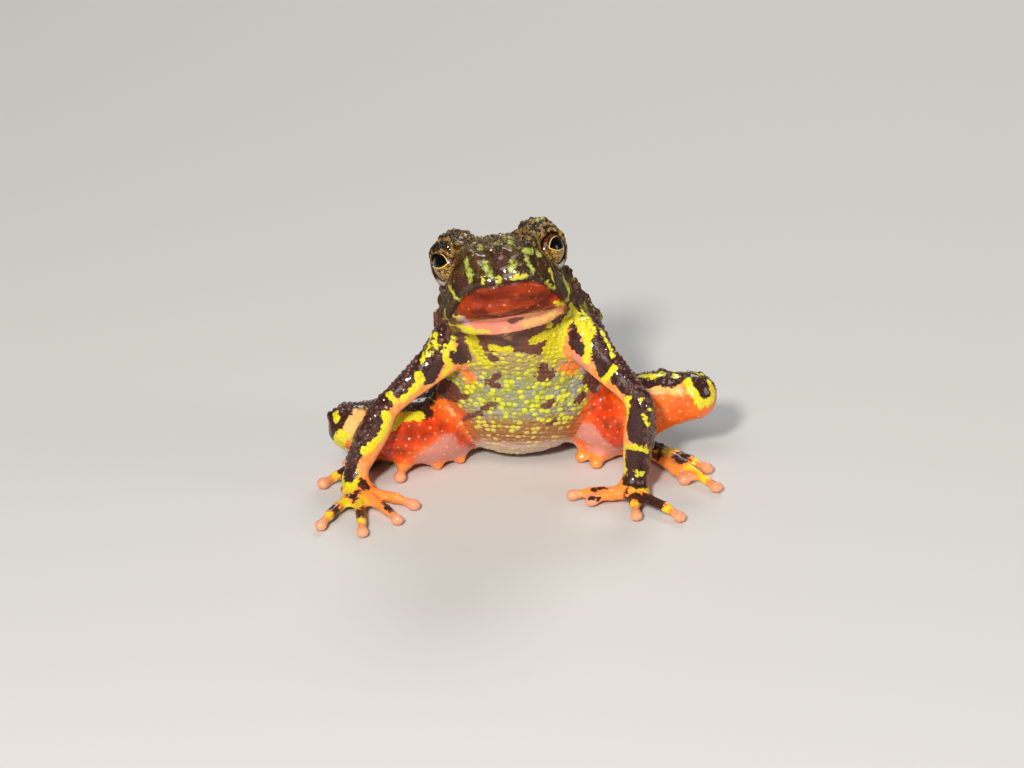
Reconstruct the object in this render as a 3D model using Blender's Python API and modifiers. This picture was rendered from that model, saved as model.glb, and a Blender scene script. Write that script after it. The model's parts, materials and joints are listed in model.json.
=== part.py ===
"""A bleeding toad (Leptophryne cruentata) sitting upright with its head raised, at life size.

The animal faces -Y, its left side is +X and +Z is up. Every length below is in millimetres, and
to_metres() brings the finished pieces to metres. Each limb, the trunk and the head is fused from simple
forms into one smooth skin and then parted into its named pieces by cuts as thin as PARTING.
"""

import math
import random
from dataclasses import dataclass

import bmesh
import bpy
from mathutils import Matrix, Vector
from mathutils.bvhtree import BVHTree

METRE = 0.001
PARTING = 0.3

# Driving sizes of an adult female, 30 mm from snout to vent.
EYE_RADIUS = 1.38
EYE_SPACING = 6.8
EYE_CLEARANCE = 0.1
EYE_OPENING = (1.4, 1.5, 1.24)
DIGIT_RADIUS = 0.42
PAD_RADIUS = 0.56
WEB_THICKNESS = 0.55

# The head frame: its origin lies midway between the eyes.
HEAD_AT = Vector((-1.55, -7.0, 18.4))
HEAD_PITCH = math.radians(22)
HEAD_ROLL = math.radians(8.5)

# The tallest part of the model is under this, and so is its reach from the origin.
REACH = 40.0

EVENNESS = 0.02
SKIN_VOXEL = 0.22
FINE_VOXEL = 0.17
WEAVE_VOXEL = 0.1


@dataclass
class Section:
    """One cross-section of a trunk, head or thigh: its centre, half width, and half depths."""

    at: tuple
    width: float
    back: float
    front: float
    squareness: float = 2.0


@dataclass
class Digit:
    """A finger or toe, given by its tip and the radius of its shaft."""

    tip: tuple
    arch: float = 0.25
    radius: float = DIGIT_RADIUS


def clear_scene():
    """Removes whatever the opened file holds."""
    for obj in list(bpy.data.objects):
        bpy.data.objects.remove(obj)
    for group in list(bpy.data.collections):
        bpy.data.collections.remove(group)


def new_collection(name):
    """A collection linked to the scene."""
    group = bpy.data.collections.new(name)
    bpy.context.scene.collection.children.link(group)
    return group


def head_axes():
    """The head's forward, side (to its left) and up directions in the model."""
    forward = Vector((0, -math.cos(HEAD_PITCH), math.sin(HEAD_PITCH)))
    upright = Vector((0, math.sin(HEAD_PITCH), math.cos(HEAD_PITCH)))
    side = Vector((1, 0, 0)) * math.cos(HEAD_ROLL) + upright * math.sin(HEAD_ROLL)
    up = upright * math.cos(HEAD_ROLL) - Vector((1, 0, 0)) * math.sin(HEAD_ROLL)
    return forward, side, up


def head_point(forward, side, up):
    """A place given in the head frame, as a model point."""
    axes = head_axes()
    return HEAD_AT + axes[0] * forward + axes[1] * side + axes[2] * up


def head_turn():
    """The rotation that takes X, Y and Z to the head's side, backward and up directions."""
    forward, side, up = head_axes()
    return Matrix((side, -forward, up)).transposed().to_4x4()


def mesh_object(name, mesh):
    """An object for the mesh, linked to the scene."""
    obj = bpy.data.objects.new(name, mesh)
    bpy.context.scene.collection.objects.link(obj)
    return obj


def object_from_bmesh(name, bm):
    """Turns a bmesh into an object and frees it."""
    mesh = bpy.data.meshes.new(name)
    bm.to_mesh(mesh)
    bm.free()
    return mesh_object(name, mesh)


def face_out(bm):
    """Turns the faces of one closed surface outwards."""
    bmesh.ops.recalc_face_normals(bm, faces=bm.faces)
    if bm.calc_volume(signed=True) < 0:
        bmesh.ops.reverse_faces(bm, faces=bm.faces)


def bake(obj):
    """Replaces an object's mesh, or a curve object, by what its modifiers show."""
    graph = bpy.context.evaluated_depsgraph_get()
    mesh = bpy.data.meshes.new_from_object(obj.evaluated_get(graph))
    mesh.transform(obj.matrix_world)
    name = obj.name
    bpy.data.objects.remove(obj)
    return mesh_object(name, mesh)


def ball(name, at, radii, turn=None):
    """An ellipsoid."""
    bm = bmesh.new()
    bmesh.ops.create_uvsphere(bm, u_segments=28, v_segments=18, radius=1)
    turn = turn or Matrix.Identity(4)
    bm.transform(Matrix.Translation(at) @ turn @ Matrix.Diagonal((*radii, 1)))
    return object_from_bmesh(name, bm)


def tube(name, path, radii, sides=4):
    """A rod of changing thickness along a smooth path, with closed ends."""
    data = bpy.data.curves.new(name, "CURVE")
    data.dimensions = "3D"
    data.bevel_depth = 1
    data.bevel_resolution = sides
    data.resolution_u = 6
    data.use_fill_caps = True
    spline = data.splines.new("BEZIER")
    spline.bezier_points.add(len(path) - 1)
    for point, at, radius in zip(spline.bezier_points, path, radii):
        point.co = at
        point.radius = radius
        point.handle_left_type = point.handle_right_type = "AUTO"
    obj = bake(mesh_object(name, data))
    bm = bmesh.new()
    bm.from_mesh(obj.data)
    bmesh.ops.remove_doubles(bm, verts=bm.verts, dist=0.001)
    face_out(bm)
    bpy.data.objects.remove(obj)
    return object_from_bmesh(name, bm)


def smooth_between(values, steps):
    """Catmull-Rom points through lists of numbers, with some steps in each span."""
    rows = [Vector(v) for v in values]
    rows = [rows[0] * 2 - rows[1], *rows, rows[-1] * 2 - rows[-2]]
    found = []
    for a, b, c, d in zip(rows, rows[1:], rows[2:], rows[3:]):
        for step in range(steps):
            t = step / steps
            bend = 2 * a - 5 * b + 4 * c - d
            twist = 3 * b - a - 3 * c + d
            found.append(b + ((c - a) * t + bend * t**2 + twist * t**3) / 2)
    return [*found, rows[-2]]


def loft(name, sections, side, steps=4, around=32):
    """A skin through cross-sections, each at right angles to the line of their centres.

    side is the direction of the half widths. The front half depth lies to the left of the line as seen
    with side pointing at the viewer, and the back half depth opposite it.
    """
    rows = smooth_between([(*s.at, s.width, s.back, s.front, s.squareness) for s in sections], steps)
    centres = [Vector(row[:3]) for row in rows]
    bm = bmesh.new()
    rings = []
    for index, (centre, row) in enumerate(zip(centres, rows)):
        before = centres[max(index - 1, 0)]
        after = centres[min(index + 1, len(rows) - 1)]
        along = (after - before).normalized()
        across = (side - along * side.dot(along)).normalized()
        normal = along.cross(across)
        width, back, front, squareness = row[3:7]
        ring = []
        for corner in range(around):
            angle = math.tau * corner / around
            c = math.cos(angle)
            s = math.sin(angle)
            flat = math.copysign(abs(c) ** (2 / squareness), c) * width
            deep = math.copysign(abs(s) ** (2 / squareness), s) * (back if s > 0 else front)
            ring.append(bm.verts.new(centre + across * flat + normal * deep))
        rings.append(ring)
    for first, second in zip(rings, rings[1:]):
        for corner in range(around):
            other = (corner + 1) % around
            bm.faces.new((first[corner], first[other], second[other], second[corner]))
    bm.faces.new(rings[0])
    bm.faces.new(rings[-1])
    face_out(bm)
    return object_from_bmesh(name, bm)


def web(name, first, second, reach):
    """A thin skin between two neighbouring toes, hollowed at its free edge."""
    bm = bmesh.new()
    steps = 6
    spread = 4
    grid = []
    for i in range(steps + 1):
        row = []
        for j in range(spread + 1):
            across = j / spread
            inset = 1 - 0.35 * math.sin(math.pi * across)
            t = reach * inset * i / steps
            row.append(bm.verts.new(along_path(first, t).lerp(along_path(second, t), across)))
        grid.append(row)
    for i in range(steps):
        for j in range(spread):
            bm.faces.new((grid[i][j], grid[i][j + 1], grid[i + 1][j + 1], grid[i + 1][j]))
    obj = object_from_bmesh(name, bm)
    wall = obj.modifiers.new("wall", "SOLIDIFY")
    wall.thickness = WEB_THICKNESS
    wall.offset = 0
    return bake(obj)


def along_path(path, share):
    """The point at a share of the way along a list of points."""
    place = min(max(share, 0), 1) * (len(path) - 1)
    index = min(int(place), len(path) - 2)
    return path[index].lerp(path[index + 1], place - index)


def fuse(name, pieces, voxel, rounds, triangles):
    """One closed skin round all the pieces, its creases softened, cut level at the floor."""
    bm = bmesh.new()
    for piece in pieces:
        bm.from_mesh(piece.data)
        bpy.data.objects.remove(piece)
    obj = object_from_bmesh(name, bm)
    remesh = obj.modifiers.new("skin", "REMESH")
    remesh.mode = "VOXEL"
    remesh.voxel_size = voxel
    relax = obj.modifiers.new("relax", "SMOOTH")
    relax.factor = 0.5
    relax.iterations = rounds
    return thinned(bake(obj), triangles)


def is_closed(obj):
    """Whether a mesh is closed, with its faces pointing out."""
    bm = bmesh.new()
    bm.from_mesh(obj.data)
    closed = bool(bm.faces) and all(edge.is_manifold for edge in bm.edges) and bm.calc_volume(signed=True) > 0
    bm.free()
    return closed


def first_closed(obj, attempts):
    """The result of the first attempt on copies of an object that is closed, or else of the last attempt."""
    result = None
    for attempt in attempts:
        if result:
            bpy.data.objects.remove(result)
        result = attempt(mesh_object(obj.name, obj.data.copy()))
        if is_closed(result):
            break
    bpy.data.objects.remove(obj)
    return result


def triangle_count(obj):
    """How many triangles a mesh has once its faces are split."""
    return sum(len(face.vertices) - 2 for face in obj.data.polygons)


def thinned(obj, triangles):
    """The object with no more triangles than asked, spread so that smooth stretches keep their share.

    Where slivers from a cut would tear, the surface is woven anew before it is thinned.
    """
    if triangle_count(obj) <= triangles:
        return obj

    def thin(copy):
        even = copy.vertex_groups.new(name="even")
        even.add(range(len(copy.data.vertices)), 0.5, "REPLACE")
        step = copy.modifiers.new("thin", "DECIMATE")
        step.ratio = triangles / triangle_count(copy)
        step.vertex_group = even.name
        step.vertex_group_factor = EVENNESS
        return bake(copy)

    def weave_and_thin(copy):
        weave = copy.modifiers.new("weave", "REMESH")
        weave.mode = "VOXEL"
        weave.voxel_size = WEAVE_VOXEL
        return thin(bake(copy))

    return first_closed(obj, [thin, weave_and_thin])


def boolean(obj, other, operation):
    """The object after a Boolean with another closed mesh, which is left in place.

    Where the exact solver leaves the result open, the manifold solver takes its place.
    """

    def solve_by(solver):
        def attempt(copy):
            step = copy.modifiers.new(operation.lower(), "BOOLEAN")
            step.operation = operation
            step.solver = solver
            step.object = other
            return bake(copy)

        return attempt

    return first_closed(obj, [solve_by("EXACT"), solve_by("MANIFOLD")])


def cut(obj, *tools):
    """The object with the tools' shapes taken away and the tools removed."""
    for tool in tools:
        obj = boolean(obj, tool, "DIFFERENCE")
        bpy.data.objects.remove(tool)
    return obj


def islands(obj):
    """The closed surfaces of a mesh as separate objects, largest first. The source is removed."""
    source = bmesh.new()
    source.from_mesh(obj.data)
    source.verts.ensure_lookup_table()
    unseen = set(range(len(source.verts)))
    groups = []
    while unseen:
        stack = [unseen.pop()]
        group = set(stack)
        while stack:
            for edge in source.verts[stack.pop()].link_edges:
                for vert in edge.verts:
                    if vert.index in unseen:
                        unseen.discard(vert.index)
                        group.add(vert.index)
                        stack.append(vert.index)
        groups.append(group)
    found = []
    for group in sorted(groups, key=len, reverse=True):
        part = source.copy()
        part.verts.ensure_lookup_table()
        gone = [vert for vert in part.verts if vert.index not in group]
        bmesh.ops.delete(part, geom=gone, context="VERTS")
        found.append(object_from_bmesh(obj.name, part))
    source.free()
    bpy.data.objects.remove(obj)
    return found


def largest(obj):
    """The object with only its largest closed surface."""
    first, *scraps = islands(obj)
    for scrap in scraps:
        bpy.data.objects.remove(scrap)
    return first


def centre_of(obj):
    """The middle of an object's points."""
    points = [vert.co for vert in obj.data.vertices]
    return sum(points, Vector()) / len(points)


def part_at(obj, cutters, places):
    """Cuts an object and returns one piece for each place, the piece whose middle lies nearest to it."""
    pieces = islands(cut(obj, *cutters))
    chosen = []
    for place in places:
        nearest = min(pieces, key=lambda piece: (centre_of(piece) - Vector(place)).length)
        pieces.remove(nearest)
        chosen.append(nearest)
    for scrap in pieces:
        bpy.data.objects.remove(scrap)
    return chosen


def disc(at, along, radius):
    """A cutter as thin as a parting, at right angles to a limb."""
    bm = bmesh.new()
    bmesh.ops.create_cone(bm, cap_ends=True, segments=32, radius1=radius, radius2=radius, depth=PARTING)
    turn = Vector((0, 0, 1)).rotation_difference(Vector(along)).to_matrix().to_4x4()
    bm.transform(Matrix.Translation(at) @ turn)
    return object_from_bmesh("cutter_disc", bm)


def ribbon(profile, half_span):
    """A bent cutter as thin as a parting: (forward, up) places in the head frame, drawn out sideways."""
    bm = bmesh.new()
    rows = [
        [bm.verts.new(head_point(forward, side, up)) for side in (-half_span, half_span)]
        for forward, up in profile
    ]
    for first, second in zip(rows, rows[1:]):
        bm.faces.new((first[0], first[1], second[1], second[0]))
    obj = object_from_bmesh("cutter_ribbon", bm)
    wall = obj.modifiers.new("wall", "SOLIDIFY")
    wall.thickness = PARTING
    wall.offset = 0
    return bake(obj)


def floor_block():
    """A cutter that fills the space below the floor."""
    bm = bmesh.new()
    bmesh.ops.create_cube(bm, size=2 * REACH)
    bm.transform(Matrix.Translation((0, 0, -REACH)))
    return object_from_bmesh("cutter_floor", bm)


def grown(obj, gap):
    """A copy of an object swollen by the gap, to cut its neighbour clear of it."""
    triangles = len(obj.data.polygons)
    copy = mesh_object(f"cutter_{obj.name}", obj.data.copy())
    swell = copy.modifiers.new("swell", "DISPLACE")
    swell.strength = gap
    swell.mid_level = 0
    return fuse(copy.name, [bake(copy)], FINE_VOXEL, 0, triangles)


def clear_of(obj, *neighbours):
    """The object cut back so that it meets each neighbour face to face across a parting."""
    for neighbour in neighbours:
        obj = cut(obj, grown(neighbour, PARTING))
    return largest(obj)


def surface_point(obj, guess):
    """The nearest place on an object's surface."""
    bm = bmesh.new()
    bm.from_mesh(obj.data)
    tree = BVHTree.FromBMesh(bm)
    bm.free()
    return tree.find_nearest(Vector(guess))[0]


# The trunk, from the vent up to the neck. It leans towards the animal's right as it rises.
TRUNK = [
    Section((0.3, 7.8, 1.0), 0.7, 0.7, 0.7),
    Section((0.3, 6.3, 1.9), 2.6, 1.7, 1.8),
    Section((0.3, 3.8, 3.3), 4.9, 3.0, 3.7),
    Section((0.2, 1.1, 5.2), 6.1, 3.8, 5.3, 2.1),
    Section((-0.1, 0.2, 7.9), 6.4, 3.9, 5.1, 2.1),
    Section((-0.4, -0.7, 10.5), 6.1, 3.8, 4.7, 2.1),
    Section((-0.8, -2.3, 13.0), 5.2, 3.5, 4.7),
    Section((-1.1, -4.0, 15.1), 4.6, 3.0, 3.9),
    Section((-1.4, -5.3, 16.6), 4.2, 2.5, 3.0),
]

# The head, from the nape to the snout, as (forward, half width, top, bottom) in the head frame.
HEAD_PROFILE = [
    (-5.6, 4.0, 1.2, -4.6, 2.0),
    (-3.8, 4.4, 1.5, -4.9, 2.2),
    (-1.8, 4.5, 1.6, -4.8, 2.3),
    (0.2, 4.2, 1.45, -4.5, 2.4),
    (1.8, 3.8, 1.0, -4.1, 2.5),
    (3.0, 3.0, 0.4, -3.6, 2.5),
    (3.9, 2.2, -0.2, -3.1, 2.4),
    (4.5, 1.2, -0.8, -2.4, 2.2),
]

# Where the lips meet, as (forward, up) places, and the parting behind the jaw and round the throat.
MOUTH_LINE = [
    (6.5, -2.05),
    (3.8, -2.1),
    (3.0, -2.45),
    (2.2, -2.95),
    (1.2, -3.45),
    (0, -3.8),
    (-3.0, -4.2),
]
NECK_LINE = [
    (-4.8, 4.0),
    (-4.2, 1.0),
    (-3.6, -2.0),
    (-3.0, -4.1),
    (-1.9, -4.95),
    (0.6, -5.75),
    (3.5, -6.7),
]


def head_section(forward, width, top, bottom, squareness):
    """A section of the head from its place in the head frame."""
    middle = (top + bottom) / 2
    return Section(head_point(forward, 0, middle), width, (top - bottom) / 2, (top - bottom) / 2, squareness)


def brow(side):
    """The raised lid over one eye, with the ridge that runs from it towards the nostril."""
    ridge = [(0.9, 2.9, 1.0), (2.4, 2.2, 0.35), (3.7, 1.35, -0.4)]
    return [
        ball("brow", head_point(-0.4, side * 2.9, 0.95), (1.6, 1.62, 1.45), head_turn()),
        tube("ridge", [head_point(f, side * s, u) for f, s, u in ridge], [0.8, 0.62, 0.5]),
        ball("cheek", head_point(-2.2, side * 3.2, -2.9), (1.4, 2.1, 1.8), head_turn()),
    ]


def eye_axis(side):
    """The direction in which one eye looks."""
    forward, left, up = head_axes()
    return (forward * 0.64 + left * side * 0.75 + up * 0.12).normalized()


def eye_centre(side):
    """The middle of one eyeball."""
    return head_point(0, side * EYE_SPACING / 2, 0)


def lid_ring(side):
    """The rims of the upper and lower lids, a closed ring that hugs the eyeball."""
    axis = eye_axis(side)
    up = head_axes()[2]
    across = axis.cross(up).normalized()
    upright = across.cross(axis)
    centre = eye_centre(side) + axis * 0.5
    ring = []
    for corner in range(13):
        angle = math.tau * corner / 12
        ring.append(centre + across * math.cos(angle) * 1.5 + upright * math.sin(angle) * 1.44)
    thickness = [0.34 + 0.09 * math.sin(math.tau * corner / 12) for corner in range(13)]
    return tube("lid", ring, thickness, sides=2)


def lips(side):
    """The rounded edges of both lips on one side, from the snout to the corner of the mouth."""
    front = [(4.2, 0.0, -1.7), (3.7, 1.7, -1.75), (2.9, 2.75, -2.2)]
    rear = [(1.6, 3.6, -3.0), (0, 4.1, -3.45), (-2.6, 4.4, -3.9)]
    places = front + rear
    upper = [head_point(f, side * s, u) for f, s, u in places]
    lower = [head_point(f - 0.2, side * s * 0.96, u - 0.7) for f, s, u in places]
    return [
        tube("upper_lip", upper, [0.34, 0.36, 0.38, 0.36, 0.3, 0.2]),
        tube("lower_lip", lower, [0.26, 0.28, 0.32, 0.34, 0.32, 0.28]),
    ]


def throat():
    """The skin between the jaws, and the loose fold that bulges below it."""
    right = [(-1.8, -3.9, -4.1), (-0.7, -2.5, -4.65)]
    left = [(-0.7, 2.5, -4.6), (-1.8, 3.9, -4.0)]
    places = [*right, (-0.1, 0.0, -4.8), *left]
    return [
        tube("throat_roll", [head_point(*place) for place in places], [0.5, 0.7, 0.78, 0.7, 0.5]),
        ball("throat", head_point(0.8, 0, -3.35), (3.8, 2.9, 1.2), head_turn()),
    ]


def warts(obj, count, sizes, wanted):
    """Round warts on the parts of a surface that are wanted, drawn from a fixed seed and kept apart."""
    draw = random.Random(count)
    faces = [face for face in obj.data.polygons if wanted(face.center, face.normal)]
    chosen = []
    for _ in range(60 * count):
        if len(chosen) == count or not faces:
            break
        face = draw.choice(faces)
        radius = draw.uniform(*sizes)
        if all((face.center - other).length > 1.15 * (radius + size) for other, _, size in chosen):
            chosen.append((face.center.copy(), face.normal.copy(), radius))
    return [ball("wart", at - normal * size * 0.3, (size, size, size)) for at, normal, size in chosen]


def in_head(at):
    """The (forward, side, up) place in the head frame of a model point."""
    offset = at - HEAD_AT
    return [offset.dot(axis) for axis in head_axes()]


def is_brow(at, normal):
    """Whether a place is on top of a brow or along the crown."""
    forward, side, up = in_head(at)
    return -3.5 < forward < 1.2 and up > 1.35 and normal.z > 0.1


def is_back(at, normal):
    """Whether a place is on the back, nape or flanks."""
    return 4 < at.z < 20 and in_head(at)[0] < -2.2 and normal.y > -0.15


def nostril(head, side):
    """A cutter for one nostril, set on the skin near the snout's tip."""
    at = surface_point(head, head_point(4.5, side * 1.2, -0.7))
    return ball("cutter_nostril", at, (0.2, 0.28, 0.2), head_turn())


def build_trunk_and_head():
    """The torso, the head with its lids, and the lower jaw with the throat, parted from one skin."""
    left = head_axes()[1]
    pieces = [
        loft("trunk", TRUNK, left),
        loft("skull", [head_section(*row) for row in HEAD_PROFILE], left),
        *throat(),
    ]
    for side in (-1, 1):
        pieces += [*brow(side), lid_ring(side), *lips(side)]
    smooth = fuse("body", pieces, FINE_VOXEL, 3, 20000)
    bumps = warts(smooth, 40, (0.28, 0.42), is_brow) + warts(smooth, 64, (0.45, 0.7), is_back)
    body = fuse("body", [smooth, *bumps], FINE_VOXEL, 1, 8400)
    cutters = [floor_block()]
    for side in (-1, 1):
        cutters += [
            ball("cutter_socket", eye_centre(side), [EYE_RADIUS + EYE_CLEARANCE] * 3),
            ball("cutter_opening", eye_centre(side) + eye_axis(side) * 1.1, EYE_OPENING, head_turn()),
            nostril(body, side),
        ]
    body = cut(body, *cutters)
    cutters = [ribbon(MOUTH_LINE, 8), ribbon(NECK_LINE, 12)]
    places = [head_point(0, 0, -1.5), head_point(0.5, 0, -4.5), (0, 1, 9)]
    return part_at(body, cutters, places)


def build_eye(side):
    """An eyeball with the clear bulge in front of it."""
    axis = eye_axis(side)
    centre = eye_centre(side)
    pieces = [
        ball("globe", centre, [EYE_RADIUS - 0.02] * 3),
        ball("cornea", centre + axis * 0.42, [EYE_RADIUS * 0.74] * 3),
    ]
    return fuse("eye", pieces, 0.1, 2, 420)


@dataclass
class Arm:
    """A foreleg by its joints, with the fingers from the inner one outwards."""

    side: int
    shoulder: tuple
    elbow: tuple
    wrist: tuple
    palm: tuple
    fingers: list


@dataclass
class Leg:
    """A hind leg by its joints, with how far the thigh bows upwards and the toes from the inner one outwards."""

    hip: tuple
    thigh: tuple
    knee: tuple
    bow: float
    heel: tuple
    sole: tuple
    toes: list


ARMS = {
    "left": Arm(
        1,
        shoulder=(4.7, -4.2, 11.2),
        elbow=(8.8, -8.0, 7.4),
        wrist=(8.4, -7.6, 1.3),
        palm=(8.2, -8.5, 0.8),
        fingers=[
            Digit((3.7, -8.5, 0.4)),
            Digit((5.1, -9.6, 0.4)),
            Digit((8.4, -12.3, 0.4)),
            Digit((11.6, -12.5, 0.4)),
        ],
    ),
    "right": Arm(
        -1,
        shoulder=(-5.1, -4.2, 10.6),
        elbow=(-9.8, -6.7, 6.6),
        wrist=(-12.3, -6.9, 1.4),
        palm=(-11.9, -8.2, 0.8),
        fingers=[
            Digit((-7.6, -10.3, 0.4)),
            Digit((-8.8, -13.0, 0.4)),
            Digit((-11.3, -15.2, 0.4)),
            Digit((-14.4, -14.0, 0.4)),
        ],
    ),
}

LEGS = {
    "left": Leg(
        hip=(2.3, 4.2, 3.0),
        thigh=(7.0, -0.9, 3.5),
        knee=(12.8, -2.4, 5.8),
        bow=0.35,
        heel=(6.4, 7.6, 1.4),
        sole=(8.6, 1.2, 0.85),
        toes=[
            Digit((4.5, -1.4, 0.4)),
            Digit((5.6, -2.6, 0.4)),
            Digit((12.2, -5.7, 0.4)),
            Digit((14.5, -7.1, 0.4)),
            Digit((14.0, -3.6, 0.4)),
        ],
    ),
    "right": Leg(
        hip=(-1.9, 4.2, 3.0),
        thigh=(-6.8, -1.8, 2.9),
        knee=(-12.4, -3.8, 3.9),
        bow=0.0,
        heel=(-6.6, 7.4, 1.4),
        sole=(-8.0, 0.6, 0.85),
        toes=[
            Digit((-4.4, -1.6, 0.4)),
            Digit((-6.1, -2.8, 0.4)),
            Digit((-8.9, -5.3, 0.4)),
            Digit((-14.6, -6.4, 0.4)),
            Digit((-12.9, -2.8, 0.4)),
        ],
    ),
}


def digit_path(start, knuckle_share, digit):
    """Points along a digit: its start, its knuckle, its raised middle joint and its tip."""
    start, tip = Vector(start), Vector(digit.tip)
    knuckle = start.lerp(tip, knuckle_share)
    knuckle.z = start.z * 0.8
    middle = start.lerp(tip, (1 + knuckle_share) / 2)
    middle.z = DIGIT_RADIUS + digit.arch
    return [start, knuckle, middle, tip]


def digit_pieces(name, path, digit):
    """The shaft of a digit and the round pad at its tip."""
    radius = digit.radius
    tip = path[-1]
    back = (path[-2] - tip).normalized()
    return [
        tube(name, path, [radius * 1.3, radius * 1.08, radius * 0.98, radius * 0.92]),
        ball(f"{name}_pad", tip + back * 0.12, (PAD_RADIUS, PAD_RADIUS, PAD_RADIUS * 0.86)),
    ]


def build_arm(arm, torso):
    """The upper arm, forearm and hand of one side."""
    shoulder = Vector(arm.shoulder)
    elbow = Vector(arm.elbow)
    wrist = Vector(arm.wrist)
    palm = Vector(arm.palm)
    inward = Vector((-arm.side, -0.1, -0.55)).normalized()
    fold = [
        shoulder + inward * 1.1,
        shoulder.lerp(elbow, 0.5) + inward * 0.75,
        elbow + inward * 0.5,
        elbow.lerp(wrist, 0.5) + inward * 0.5,
    ]
    fore = [elbow, elbow.lerp(wrist, 0.35), elbow.lerp(wrist, 0.75), wrist]
    pieces = [
        tube("upper", [shoulder, shoulder.lerp(elbow, 0.45), elbow], [1.45, 1.08, 0.98]),
        ball("shoulder", shoulder, (1.6, 1.65, 1.7)),
        ball("elbow", elbow, (1.04, 1.04, 1.04)),
        tube("fore", fore, [1.0, 1.2, 1.05, 0.92]),
        tube("fold", fold, [0.9, 0.62, 0.5, 0.4]),
        tube("palm", [wrist, wrist.lerp(palm, 0.6), palm], [1.0, 0.9, 0.7]),
        ball("palm_pad", palm, (1.35, 1.25, 0.62)),
    ]
    for number, finger in enumerate(arm.fingers):
        path = digit_path(palm, 0.36, finger)
        pieces += digit_pieces(f"finger_{number}", path, finger)
    smooth = fuse("arm", pieces, FINE_VOXEL, 2, 8000)
    outward = Vector((arm.side * 0.7, -0.3, 0.5))
    shoulder_reach = abs(shoulder.x) - 0.4

    def is_outer(at, normal):
        return at.z > 1.8 and abs(at.x) > shoulder_reach and normal.dot(outward) > 0.3

    bumps = warts(smooth, 26, (0.24, 0.36), is_outer)
    whole = fuse("arm", [smooth, *bumps], FINE_VOXEL, 1, 3000)
    whole = clear_of(cut(whole, floor_block()), torso)
    elbow_cut = disc(elbow, (wrist - shoulder).normalized(), 2.6)
    wrist_cut = disc(wrist.lerp(elbow, 0.08), (wrist - elbow).normalized(), 2.2)
    places = [shoulder.lerp(elbow, 0.6), elbow.lerp(wrist, 0.5), palm]
    return part_at(whole, [elbow_cut, wrist_cut], places)


def build_leg(leg, torso):
    """The thigh, shank and foot of one side."""
    hip = Vector(leg.hip)
    middle = Vector(leg.thigh)
    knee = Vector(leg.knee)
    heel = Vector(leg.heel)
    sole = Vector(leg.sole)
    pieces = [
        ball("heel", heel, (0.95, 0.95, 0.95)),
        tube("tarsus", [heel, heel.lerp(sole, 0.5), sole], [0.85, 0.8, 0.75]),
        ball("sole", sole, (1.15, 1.0, 0.62)),
    ]
    paths = [digit_path(sole, 0.4, toe) for toe in leg.toes]
    for number, (toe, path) in enumerate(zip(leg.toes, paths)):
        pieces += digit_pieces(f"toe_{number}", path, toe)
    for number, (first, second) in enumerate(zip(paths, paths[1:])):
        pieces.append(web(f"web_{number}", first, second, 0.62))
    foot = fuse("foot", pieces, FINE_VOXEL, 2, 2200)
    foot = clear_of(cut(foot, floor_block()), torso)
    sections = [
        Section(hip, 2.4, 2.3, 2.3),
        Section(hip.lerp(middle, 0.5), 2.8, 2.7, 2.7),
        Section(middle, 2.7, 2.6, 2.6),
        Section(middle.lerp(knee, 0.5) + Vector((0, 0, leg.bow)), 2.3, 2.35, 2.35),
        Section(knee, 1.75, 1.7, 1.7),
    ]
    pieces = [
        ball("hip", hip, (2.3, 2.3, 2.3)),
        loft("thigh", sections, Vector((0, 0, 1))),
        ball("knee", knee, (1.85, 1.85, 1.85)),
    ]
    smooth = fuse("thigh", pieces, SKIN_VOXEL, 3, 6000)

    def is_top(at, normal):
        return normal.z > 0.35

    bumps = warts(smooth, 22, (0.3, 0.5), is_top)
    thigh = fuse("thigh", [smooth, *bumps], FINE_VOXEL, 1, 900)
    thigh = clear_of(cut(thigh, floor_block()), torso, foot)
    calf = [knee, knee.lerp(heel, 0.35), knee.lerp(heel, 0.75), heel + Vector((0, 0, 0.8))]
    shank = fuse("shank", [tube("shank", calf, [1.2, 1.5, 1.15, 0.9])], SKIN_VOXEL, 2, 760)
    shank = clear_of(cut(shank, floor_block()), torso, foot, thigh)
    return thigh, shank, foot


COLOURS = {
    "head": (0.16, 0.11, 0.03),
    "jaw": (0.45, 0.05, 0.02),
    "torso": (0.42, 0.36, 0.08),
    "eye": (0.02, 0.015, 0.01),
    "arm": (0.20, 0.10, 0.05),
    "hand": (0.62, 0.20, 0.06),
    "thigh": (0.72, 0.10, 0.03),
    "shank": (0.30, 0.14, 0.05),
    "foot": (0.68, 0.17, 0.04),
}
ROUGHNESS = {"eye": 0.08}
SKIN_ROUGHNESS = 0.38

# The triangles that each kind of piece keeps.
TRIANGLES = {
    "head": 4300,
    "jaw": 1200,
    "torso": 3550,
    "eye": 240,
    "arm": 440,
    "hand": 1000,
    "thigh": 620,
    "shank": 380,
    "foot": 1150,
}


def material(name):
    """The plain finish of one kind of piece."""
    made = bpy.data.materials.get(name) or bpy.data.materials.new(name)
    made.use_nodes = True
    shader = made.node_tree.nodes["Principled BSDF"]
    shader.inputs["Base Color"].default_value = (*COLOURS[name], 1)
    shader.inputs["Roughness"].default_value = ROUGHNESS.get(name, SKIN_ROUGHNESS)
    shader.inputs["Metallic"].default_value = 0
    return made


def finish(obj, name, finish_name, joint, group, root):
    """Names a piece, gives it its finish, and sets its origin on the joint that it hangs from."""
    obj = largest(thinned(obj, TRIANGLES[finish_name]))
    for face in obj.data.polygons:
        face.use_smooth = True
    obj.name = name
    obj.data.name = name
    obj.data.materials.clear()
    obj.data.materials.append(material(finish_name))
    obj.data.transform(Matrix.Translation(-Vector(joint)))
    obj.location = joint
    obj.parent = root
    for owner in list(obj.users_collection):
        owner.objects.unlink(obj)
    group.objects.link(obj)
    return obj


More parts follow.
